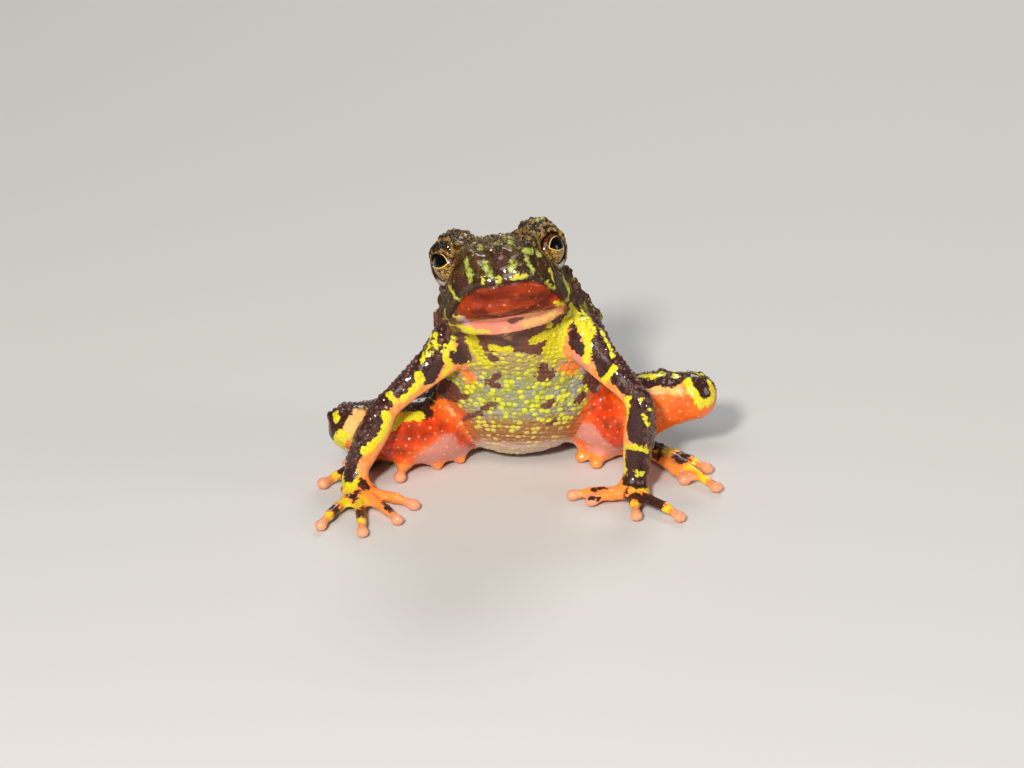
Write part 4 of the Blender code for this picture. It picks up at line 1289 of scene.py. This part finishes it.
@dataclass(frozen=True)
class WetSkin:
    """The toad's wet skin: dark brown with yellow, a granular grey and yellow belly and orange limbs."""

    dark: Colour = (0.020, 0.0058, 0.0042)
    brown: Colour = (0.062, 0.0185, 0.0130)
    plum: Colour = (0.175, 0.060, 0.038)
    # Near black, laid in the furrows between the lids' golden folds: partly their dark bands, partly painted
    # shade.
    crease: Colour = (0.010, 0.004, 0.0015)
    head_dark: Colour = (0.016, 0.0065, 0.002)
    head_brown: Colour = (0.075, 0.032, 0.008)
    head_gold: Colour = (0.33, 0.21, 0.035)
    lilac: Colour = (0.50, 0.48, 0.62)
    yellow: Colour = (0.76, 0.65, 0.012)
    straw: Colour = (0.66, 0.62, 0.07)
    olive: Colour = (0.34, 0.27, 0.012)
    green: Colour = (0.27, 0.32, 0.035)
    green_pale: Colour = (0.42, 0.46, 0.10)
    throat: Colour = (0.29, 0.027, 0.0015)
    # Dark red for the throat's patches, and laid as painted shade in its hollows.
    throat_dark: Colour = (0.12, 0.009, 0.0015)
    pink: Colour = (0.82, 0.25, 0.17)
    rose: Colour = (0.64, 0.24, 0.18)
    dot: Colour = (0.90, 0.36, 0.12)
    peach: Colour = (0.86, 0.46, 0.15)
    red: Colour = (0.74, 0.052, 0.004)
    orange: Colour = (0.90, 0.17, 0.014)
    arm_warm: Colour = (0.90, 0.36, 0.12)
    hand: Colour = (0.92, 0.27, 0.045)
    pad: Colour = (0.80, 0.31, 0.15)
    slate: Colour = (0.25, 0.275, 0.235)
    granule: Colour = (0.66, 0.64, 0.020)
    moss: Colour = (0.30, 0.31, 0.03)
    ochre: Colour = (0.33, 0.125, 0.018)
    pale: Colour = (0.66, 0.46, 0.36)
    tan: Colour = (0.62, 0.40, 0.14)
    gold: Colour = (0.37, 0.185, 0.036)
    lid_pale: Colour = (0.42, 0.38, 0.34)
    ochre_height: Span = (5.8, 3.8)
    pale_height: Span = (2.9, 1.9)
    chest_height: Span = (7.8, 9.6)
    lid_pitch: float = 0.32
    lid_reach: Span = (1.35, 0.6)
    brown_patches: Span = (0.3, 0.7)
    head_patches: Span = (0.36, 0.62)
    gold_patches: Span = (0.54, 0.64)
    gold_grain: Span = (0.44, 0.58)
    gold_bead: Span = (0.45, 1)
    line_width: Span = (0.065, 0.02)
    line_gaps: Span = (0.45, 0.57)
    blot_edge: Span = (0.585, 0.62)
    fleck_size: Span = (0.25, 0.14)
    fleck_gaps: Span = (0.42, 0.55)
    paint_change: Span = (0.35, 0.65)
    moss_patches: Span = (0.45, 0.72)
    dull_granule: Span = (0.75, 0.5)
    tan_height: Span = (4.8, 3.2)
    straw_height: Span = (9.0, 10.6)
    lit_granule: Span = (0.5, 0.62)
    belly_edge: Span = (0.35, 0.6)
    rim_ochre_height: Span = (4.6, 2.4)
    rim_edge: Span = (0.25, 0.75)
    rim_foot: Span = (1.6, 2.6)
    throat_patches: Span = (0.36, 0.6)
    throat_glow: Span = (0.52, 0.75)
    speck_size: Span = (0.17, 0.08)
    speck_gaps: Span = (0.4, 0.48)
    roll_left: Span = (0.35, 0.6)
    roll_blush: Span = (0.4, 0.8)
    roll_edge: Span = (0.3, 0.65)
    throat_edge: Span = (0.42, 0.58)
    red_patches: Span = (0.35, 0.6)
    arm_patches: Span = (0.4, 0.6)
    warm_edge: Span = (0.4, 0.5)
    border_inside: Span = (0.3, 0.42)
    border_outside: Span = (0.62, 0.52)
    border_gaps: Span = (0.42, 0.52)
    first_band: Span = (0.9, 1.3)
    dark_band: Span = (-0.1, 0.3)
    gold_band: Span = (0.3, 0.7)
    pad_edge: Span = (1.0, 0.55)
    net_width: Span = (0.12, 0.02)
    fold_edge: Span = (-0.1, 0.6)
    fold_gold: Span = (0.4, 0.52)
    lid_low: Span = (-0.7, -1.15)
    lid_rim: Span = (0.36, 0.2)
    pebble: Span = (0.55, 0.0)
    belly_fold: Span = (0.6, 0.0)
    small_bead: Span = (0.5, 0.0)
    tip_shine: Span = (1.3, 0.7)

    def build(self) -> bpy.types.Material:
        """Makes the finish.

        Returns:
            The material.
        """
        s = SkinShader()
        colour = self._back(s)
        for step in (self._belly, self._throat, self._limbs, self._marks, self._head):
            colour = step(s, colour)
        sides = s.attribute("sides")
        wet = s.attribute("tip").step(*self.tip_shine) * 0.3 + s.attribute("head") * 0.05
        dull = s.attribute("throat") * (1 - s.attribute("roll")) * 0.7
        coat = (0.3 + s.fine * 0.45 + s.bead * 0.25 + wet) * (1 - sides * 0.85) * (1 - dull)
        s.dress(
            {
                "Base Color": colour,
                "Roughness": 0.3 + s.rough * 0.22 + sides * 0.35,
                "Specular IOR Level": 0.12,
                "Coat Weight": coat,
                "Coat Roughness": 0.05,
                "Coat IOR": 1.6,
                "Subsurface Weight": 0.2,
                "Subsurface Radius": (1.0, 0.35, 0.15),
                "Subsurface Scale": 0.35 * METRE,
                "Normal": self._relief(s),
            }
        )
        return s.material

    def _back(self, s: SkinShader) -> Socket:
        """Brown with a broken network and blots of yellow where the mottling is."""
        body = s.mix(s.broad.step(*self.brown_patches), self.dark, self.brown)
        # Warts and granules take a lighter plum: partly their own tone, partly a painted highlight for their wet
        # glints.
        body = s.mix(s.bead * 0.45, body, self.plum)
        body = s.mix(s.attribute("plum") * (0.45 + s.broad * 0.6), body, self.plum)
        head = s.mix((s.broad * 0.6 + s.fine * 0.4).step(*self.head_patches), self.head_dark, self.head_brown)
        gold = s.noise(1.9, 4, 0.65, s.bent_place(3, 0.4)).step(*self.gold_patches)
        gold = gold * s.fine.step(*self.gold_grain)
        head = s.mix(gold * 0.8, head, self.head_gold)
        head = s.mix(s.bead * s.attribute("grain").step(*self.gold_bead) * 0.55, head, self.head_gold)
        colour = s.mix(s.attribute("head"), body, head)
        edge = s.cells(0.62, "DISTANCE_TO_EDGE", s.bent_place(0.8, 1.3))
        lines = (edge + s.wobble * 0.12).step(*self.line_width) * s.noise(0.55, 2).step(*self.line_gaps)
        blots = (s.noise(0.75, 3, 0.6, s.bent_place(1.4, 0.8)) + s.wobble * 0.14).step(*self.blot_edge)
        flecks = s.cells(1.15, "F1", s.bent_place(2.0, 0.5)).step(*self.fleck_size)
        flecks = flecks * s.broad.step(*self.fleck_gaps)
        share = s.attribute("mottle") * (lines * 0.6 + blots * 0.85 + flecks * 0.75)
        paint = s.mix(s.broad.step(*self.paint_change), self.green, self.yellow)
        return s.mix(share.step(0, 1), colour, paint)

    def _belly(self, s: SkinShader, colour: Socket) -> Socket:
        """Slate in the middle, ochre below and peach above, with yellow and peach granules."""
        height = Number(s, s.node("ShaderNodeSeparateXYZ", {}, {0: s.place}).outputs["Z"])
        height = height + s.wobble * 1.6
        ground = s.mix((s.broad + s.fine * 0.2).step(*self.moss_patches), self.slate, self.moss)
        ground = s.mix(height.step(*self.ochre_height), ground, self.ochre)
        ground = s.mix(height.step(*self.pale_height), ground, self.pale)
        ground = s.mix(height.step(*self.chest_height) * 0.8, ground, s.mix(0.6, self.olive, self.tan))
        grain = s.attribute("grain")
        dot = s.mix(grain.step(*self.dull_granule) * 0.6, self.granule, self.moss)
        dot = s.mix(height.step(*self.tan_height) * 0.75, dot, self.tan)
        dot = s.mix(height.step(*self.straw_height) * 0.6, dot, self.straw)
        lit = (grain + (s.broad - 0.5) * 1.1).step(*self.lit_granule)
        ground = s.mix(s.bead * 0.22, ground, self.pale)
        ground = s.mix(lit * 0.9, ground, dot)
        colour = s.mix((s.attribute("belly") + s.wobble * 0.6).step(*self.belly_edge), colour, ground)
        reddish = s.mix(s.broad, self.red, self.ochre)
        edge = s.mix(height.step(*self.rim_ochre_height) * 0.6, reddish, self.ochre)
        share = (s.attribute("rim") + s.wobble * 0.35).step(*self.rim_edge) * height.step(*self.rim_foot)
        return s.mix(share, colour, edge)

    def _throat(self, s: SkinShader, colour: Socket) -> Socket:
        """Deep red and orange under the jaw, with yellowish specks."""
        flat = s.vector("MULTIPLY", s.place, (0.6, 1.0, 1.2))
        red = s.mix(s.noise(0.9, 2, 0.5, flat).step(*self.throat_patches), self.throat_dark, self.throat)
        red = s.mix(s.noise(1.4, 3, 0.45, flat).step(*self.throat_glow) * 0.4, red, self.orange)
        specks = s.cells(1.45).step(*self.speck_size) * s.fine.step(*self.speck_gaps)
        red = s.mix(specks * 0.65, red, self.peach)
        left = s.attribute("left") * s.rough.step(*self.roll_left)
        blush = s.mix(s.rough.step(*self.roll_blush) * 0.25, self.pink, self.peach)
        roll = s.mix(left * 0.6, blush, self.peach)
        red = s.mix((s.attribute("roll") + s.wobble * 0.3).step(*self.roll_edge), red, roll)
        return s.mix((s.attribute("throat") + s.wobble * 0.25).step(*self.throat_edge), colour, red)

    def _limbs(self, s: SkinShader, colour: Socket) -> Socket:
        """Orange on the inner sides and the thighs' fronts, with bands and pads on the digits."""
        digit = s.attribute("digit")
        arm = s.attribute("arm")
        orange = s.mix(s.noise(0.7, 3, 0.5).step(*self.red_patches) * 0.45, self.orange, self.red)
        orange = s.mix(arm, orange, s.mix(s.rough.step(*self.arm_patches), self.arm_warm, self.hand))
        orange = s.mix(digit, orange, self.hand)
        orange = s.mix(s.bead * 0.55, orange, self.peach)
        side = s.attribute("warm") + s.wobble * 0.45
        colour = s.mix(side.step(*self.warm_edge), colour, orange)
        border = side.step(*self.border_inside) * side.step(*self.border_outside) * arm
        border = border * s.noise(0.8, 2).step(*self.border_gaps)
        colour = s.mix(border * 0.9, colour, self.yellow)
        tip = s.attribute("tip")
        banded = s.attribute("banded") * tip.step(*self.first_band) * digit
        bands = (tip * 2.6 + s.rough * 4).sine().step(*self.dark_band) * banded
        colour = s.mix(bands, colour, s.mix(s.fine.step(0.4, 0.6), self.dark, self.brown))
        gold = (tip * 2.6 + s.rough * 4 + 3.0).sine().step(*self.gold_band) * banded
        colour = s.mix(gold * 0.85, colour, self.yellow)
        return s.mix((tip + s.wobble).step(*self.pad_edge) * s.attribute("pad"), colour, self.pad)

    def _marks(self, s: SkinShader, colour: Socket) -> Socket:
        """The markings that the photograph shows, one tone over the other, with painted shade in the throat and
        a painted highlight on the snout.
        """
        netting = s.cells(3.4, "DISTANCE_TO_EDGE").step(*self.net_width) * (1 - s.bead)
        legs = s.attribute("warm").step(0.1, 0.5) * (1 - s.attribute("digit"))
        brown = s.mix(s.fine.step(0.35, 0.65), self.dark, self.brown)
        brown = s.mix(s.attribute("belly") * (0.35 + s.rough * 0.5), brown, self.plum)
        # Warts inside brown marks take a lighter plum: partly their own tone, partly a painted highlight.
        brown = s.mix(s.bead * 0.3, brown, self.plum)
        red = s.mix(s.broad.step(0.35, 0.7), self.red, self.throat)
        legs_pink = s.mix(legs, self.pink, self.rose)
        warm_peach = s.mix(s.rough.step(0.5, 0.7) * 0.5, self.peach, self.yellow)
        bright = s.mix(s.rough.step(0.3, 0.5), self.straw, self.yellow)
        bright = s.mix(s.attribute("head") * 0.45, bright, self.green_pale)
        tints = {
            # Painted shade in the throat's hollows and under the upper lip.
            Tone.DEEP: (0.45, self.throat_dark),
            Tone.RED: (0.5, s.mix(s.bead * 0.5, red, self.dot)),
            Tone.PINK: (0.28, s.mix(s.bead * 0.8, legs_pink, self.dot)),
            Tone.LILAC: (0.2, s.mix(s.rough.step(0.45, 0.6), self.lilac, self.pale)),
            Tone.PEACH: (0.32, s.mix(s.attribute("belly") * 0.8, warm_peach, self.orange)),
            Tone.BROWN: (0.06, s.mix(s.attribute("plum") * 0.75, brown, self.plum)),
            Tone.GREEN: (0.12, s.mix(s.rough.step(0.42, 0.6), self.green, self.green_pale)),
            Tone.YELLOW: (0.05, s.mix(netting * 0.3 + s.rough.step(0.6, 0.7) * 0.2, bright, self.olive)),
        }
        for tone, (edge, tint) in tints.items():
            colour = s.mix((s.attribute(tone.value) + s.wobble).step(-edge, edge), colour, tint)
        return colour

    def _head(self, s: SkinShader, colour: Socket) -> Socket:
        """Golden folds round the eyes with dark furrows between them, partly painted shade, a pale lower rim,
        and the crease of the mouth painted dark as shade.
        """
        lid = s.attribute("lid")
        folds = (lid * (math.tau / self.lid_pitch) + s.rough * 3.5).sine().step(*self.fold_edge)
        near = lid.step(*self.lid_reach)
        # The furrows between the folds darkened: partly the lids' dark bands, partly painted shade.
        colour = s.mix(near * (1 - folds) * 0.92, colour, self.crease)
        colour = s.mix(near * folds * s.fine.step(*self.fold_gold) * 0.8, colour, self.gold)
        low = s.attribute("lid_height").step(*self.lid_low) * lid.step(*self.lid_rim)
        colour = s.mix(low * 0.8, colour, self.lid_pale)
        # Painted shade along the mouth's crease.
        return s.mix(s.attribute("mouth") * 0.75, colour, self.dark)

    def _relief(self, s: SkinShader) -> Socket:
        """The fine relief: pebbles on the back, folds across the belly and grain everywhere."""
        pebbles = s.cells(3.4, "SMOOTH_F1").step(*self.pebble) * 0.07
        belly = s.attribute("belly")
        stretched = s.vector("MULTIPLY", s.place, (1.6, 3.4, 3.9))
        folds = s.cells(1.0, "SMOOTH_F1", stretched).step(*self.belly_fold) * 0.09
        warm = s.attribute("warm") * (1 - s.attribute("digit"))
        smooth = s.attribute("digit") * 0.6 + s.attribute("throat") * 0.7 + warm * 0.7
        beads = s.cells(7.5).step(*self.small_bead) * 0.022
        height = (pebbles + beads) * (1 - belly) * (1 - smooth) + folds * belly + s.fine * 0.018
        return s.bump(height)


@dataclass(frozen=True)
class EyeFinish:
    """A bronze iris with dark veins round a black pupil, under a clear wet surface."""

    pupil: Colour = (0.0008, 0.0007, 0.0008)
    ring: Colour = (0.80, 0.52, 0.14)
    bronze: Colour = (0.12, 0.030, 0.007)
    gold: Colour = (0.46, 0.25, 0.05)
    vein: Colour = (0.006, 0.002, 0.001)
    vein_width: Span = (0.17, 0.07)
    gold_above: Span = (-0.1, 0.7)
    gold_flecks: Span = (0.55, 0.66)
    ring_edge: Span = (0.075, 0.05)
    pupil_edge: Span = (0.022, 0.004)
    limbus_edge: Span = (0.0, 0.12)

    def build(self) -> bpy.types.Material:
        """Makes the finish.

        Returns:
            The material.
        """
        s = Shader("eye")
        edge = s.attribute("pupil")
        height = s.attribute("gaze_up")
        rough = s.noise(4, 3)
        veins = s.cells(4.4, "DISTANCE_TO_EDGE", s.bent_place(5, 0.3)).step(*self.vein_width)
        iris = s.mix((height * -0.9 + rough - 0.35).step(*self.gold_above), self.bronze, self.gold)
        iris = s.mix(s.noise(8, 2).step(*self.gold_flecks) * 0.6, iris, self.gold)
        iris = s.mix(veins * 0.92, iris, self.vein)
        colour = s.mix((edge + (rough - 0.5) * 0.04).step(*self.ring_edge), iris, self.ring)
        colour = s.mix(edge.step(*self.pupil_edge), colour, self.pupil)
        colour = s.mix(s.attribute("limbus").step(*self.limbus_edge), self.vein, colour)
        s.dress({"Base Color": colour, "Roughness": 0.25, "Specular IOR Level": 0.05})
        s.dress({"Coat Weight": 1.0, "Coat Roughness": 0.015, "Coat IOR": 1.33})
        return s.material


@dataclass
class Eye:
    """One eyeball, with its cornea, looking outwards and forwards."""

    anatomy: Anatomy
    side: int
    gaze: tuple[float, float, float] = (0.59, 0.77, 0.3)
    bulge: float = 0.05
    half_length: float = 0.86
    half_height: float = 0.46
    corner: float = 3.0
    inset: float = 0.03
    cornea: Span = (0.55, 1.0)
    limbus: float = 0.05
    outline_steps: int = 28

    def build(self, name: str, material: bpy.types.Material) -> None:
        """Makes the piece.

        Args:
            name: The solid that it replaces, and its own name.
            material: Its finish.
        """
        anatomy = self.anatomy
        centre = anatomy.eyes[self.side]
        forward, outward, up = self.gaze
        gaze = anatomy.forward * forward + anatomy.side * outward * self.side + anatomy.up * up
        gaze.normalize()
        turn = Vector((0, 0, 1)).rotation_difference(gaze).to_euler()
        radius = anatomy.eye_radius - self.inset
        bpy.ops.object.select_all(action="DESELECT")
        bpy.ops.mesh.primitive_uv_sphere_add(
            segments=120, ring_count=90, radius=radius, location=centre, rotation=turn
        )
        ball = bpy.context.object
        bpy.ops.object.transform_apply(location=True, rotation=True, scale=True)
        surface = Surface(ball)
        offset = surface.points - np.array(centre)
        inward = (anatomy.forward - gaze * anatomy.forward.dot(gaze)).normalized()
        upward = anatomy.up - gaze * anatomy.up.dot(gaze) - inward * anatomy.up.dot(inward)
        upward.normalize()
        facing = offset @ np.array(gaze) / radius
        across = offset @ np.array(inward)
        above = offset @ np.array(upward)
        edge = line_distance(np.stack([across, above], axis=1), self._pupil_line())
        inside = np.abs(above) < self._pupil_height(np.clip(across / self.half_length, -1, 1))
        surface.store("pupil", np.where(facing > 0, np.where(inside, -edge, edge), 1.0))
        surface.store("gaze_up", above)
        surface.store("limbus", facing + self.limbus)
        surface.push(self.bulge * smooth_step(*self.cornea, facing))
        Bench.place(ball, f"{name}_wet", material, "eye", (name,))

    def _pupil_height(self, share: np.ndarray) -> np.ndarray:
        """Half the pupil's height at a share of its half length, with a corner at the snout's end."""
        before, behind = 1 - np.abs(share) ** self.corner, np.sqrt(1 - share**2)
        return self.half_height * np.where(share > 0, before, behind)

    def _pupil_line(self) -> np.ndarray:
        """The pupil's outline as (across, above) places."""
        share = np.cos(np.linspace(0, math.pi, self.outline_steps))
        tall = self._pupil_height(share)
        across = share * self.half_length
        upper = np.stack([across, tall], axis=1)
        lower = np.stack([across, -tall], axis=1)
        return np.concatenate([upper, lower[::-1]])


@dataclass
class Studio:
    """A pale floor, a dim sky and soft lights."""

    half_width: float = 1.2
    floor_colour: Colour = (0.62, 0.60, 0.57)
    sky_colour: Colour = (0.92, 0.94, 1.0)
    sky_strength: float = 0.12
    sun_power: float = 0.95
    sun_spread: float = math.radians(30)
    sun_turn: tuple[float, float, float] = (math.radians(36), math.radians(-14), 0)
    lamp_target: tuple[float, float, float] = (0, 0, 0.009)

    def build(self) -> None:
        """Makes the floor, the lights and the sky."""
        bpy.ops.object.select_all(action="DESELECT")
        bpy.ops.mesh.primitive_plane_add(size=2 * self.half_width, location=(0, 0, 0))
        floor = bpy.context.object
        floor.name = "studio_floor"
        s = Shader("studio_floor")
        s.dress({"Base Color": self.floor_colour, "Roughness": 0.7})
        floor.data.materials.append(s.material)
        world = bpy.data.worlds.new("studio")
        bpy.context.scene.world = world
        world.use_nodes = True
        sky = world.node_tree.nodes["Background"].inputs
        sky["Color"].default_value = (*self.sky_colour, 1)
        sky["Strength"].default_value = self.sky_strength
        bpy.ops.object.light_add(type="SUN", rotation=self.sun_turn)
        bpy.context.object.data.energy = self.sun_power
        bpy.context.object.data.angle = self.sun_spread
        self._light("key", at=(-0.06, -0.28, 0.18), size=0.03, power=1.15, colour=(1.0, 0.97, 0.93))
        self._light("fill", at=(0.27, -0.06, 0.11), size=0.1, power=0.14, colour=(0.94, 0.97, 1.0))
        self._light("rim", at=(0.05, 0.26, 0.24), size=0.12, power=0.35, colour=(1.0, 1.0, 1.0))
        bpy.context.scene.view_settings.view_transform = "Standard"

    def _light(
        self, name: str, at: tuple[float, float, float], size: float, power: float, colour: Colour
    ) -> None:
        """Adds a square lamp that faces the animal."""
        aim = Vector(self.lamp_target) - Vector(at)
        bpy.ops.object.light_add(type="AREA", location=at, rotation=aim.to_track_quat("-Z", "Y").to_euler())
        lamp = bpy.context.object
        lamp.name = name
        lamp.data.size = size
        lamp.data.energy = power
        lamp.data.color = colour


@dataclass
class Toad:
    """The whole animal: its skin with the small forms on it, and its eyes."""

    anatomy: Anatomy
    crown_height: Span = (0.2, 1.2)
    crown_edge: Span = (0.25, 0.5)
    lid_top: Span = (-0.2, 0.5)
    lower_beads: tuple[float, float] = (0.26, 0.07)
    upper_beads: tuple[float, float] = (0.62, 0.09)

    def build(self) -> None:
        """Makes and dresses every piece."""
        skin = Skin(self.anatomy).build()
        pattern = Pattern(self.anatomy, skin)
        pattern.paint(skin)
        skin.store("grain", np.zeros(len(skin.points)))
        finish = WetSkin().build()
        for granules, weight in self._granules(pattern):
            granules.build(pattern, weight, finish)
        Bench.place(skin.obj, "skin", finish, "torso", tuple(self.anatomy.flesh))
        eye_finish = EyeFinish().build()
        for side, label in ((1, "left"), (-1, "right")):
            Eye(self.anatomy, side).build(f"eye_{label}", eye_finish)

    def _granules(self, pattern: Pattern) -> Iterator[tuple[Granules, np.ndarray]]:
        """Each kind of granule, with how likely each point of the skin is to carry it.

        Args:
            pattern: The zones of the skin.

        Yields:
            A kind and its weights.
        """
        zones = pattern.zones
        head = pattern.part("head")
        lid = zones["lid"]
        belly = zones["belly"] ** 2 * (1 - zones["rim"]) ** 2
        yield Granules(
            "belly_granules",
            slot="torso",
            spacing=0.27,
            radii=(0.09, 0.2),
            height=0.5,
            stretch=1.15,
            row_pitch=0.33,
            seed=5,
        ), belly
        legs = pattern.part("thigh_left", "thigh_right") * (1 - zones["mottle"])
        dots = Granules(
            "thigh_granules", slot="thigh", spacing=0.56, radii=(0.07, 0.11), height=0.45, seed=11
        )
        yield dots, legs**2
        limbs = pattern.part("upper_arm_left", "upper_arm_right", "forearm_left", "forearm_right")
        limbs = limbs * (1 - zones["warm"]) + 0.6 * zones["mottle"] * (1 - head)
        limbs += 0.7 * zones["sides"] * pattern.part("torso") * (1 - zones["belly"])
        warts = Granules(
            "warts", slot="torso", spacing=0.37, radii=(0.09, 0.23), height=0.62, seed=17, most=7000
        )
        yield warts, np.clip(limbs, 0, 1) ** 2
        crown = head * smooth_step(*self.crown_height, zones["lid_height"])
        crown *= smooth_step(*self.crown_edge, lid)
        bumps = Granules("crown_tubercles", slot="head", spacing=0.3, radii=(0.08, 0.2), height=0.75, seed=23)
        yield bumps, crown
        rows = bell(lid, *self.lower_beads) + 0.8 * bell(lid, *self.upper_beads)
        rows *= head * smooth_step(*self.lid_top, zones["lid_height"])
        beads = Granules("lid_beads", slot="head", spacing=0.19, radii=(0.07, 0.11), height=0.75, seed=29)
        yield beads, rows
        collar = zones["roll"] * zones["left"]
        beads = Granules("collar_beads", slot="jaw", spacing=0.23, radii=(0.06, 0.1), height=0.6, seed=31)
        yield beads, collar**2


def main() -> None:
    """Builds the scene and notes how many triangles each dressed piece has."""
    logging.basicConfig(level=logging.INFO, format="%(name)s: %(message)s")
    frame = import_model()
    viewpoint = Viewpoint()
    viewpoint.build()
    Studio().build()
    Toad(Anatomy(frame["nodes"], viewpoint)).build()


if __name__ == "__main__":
    main()
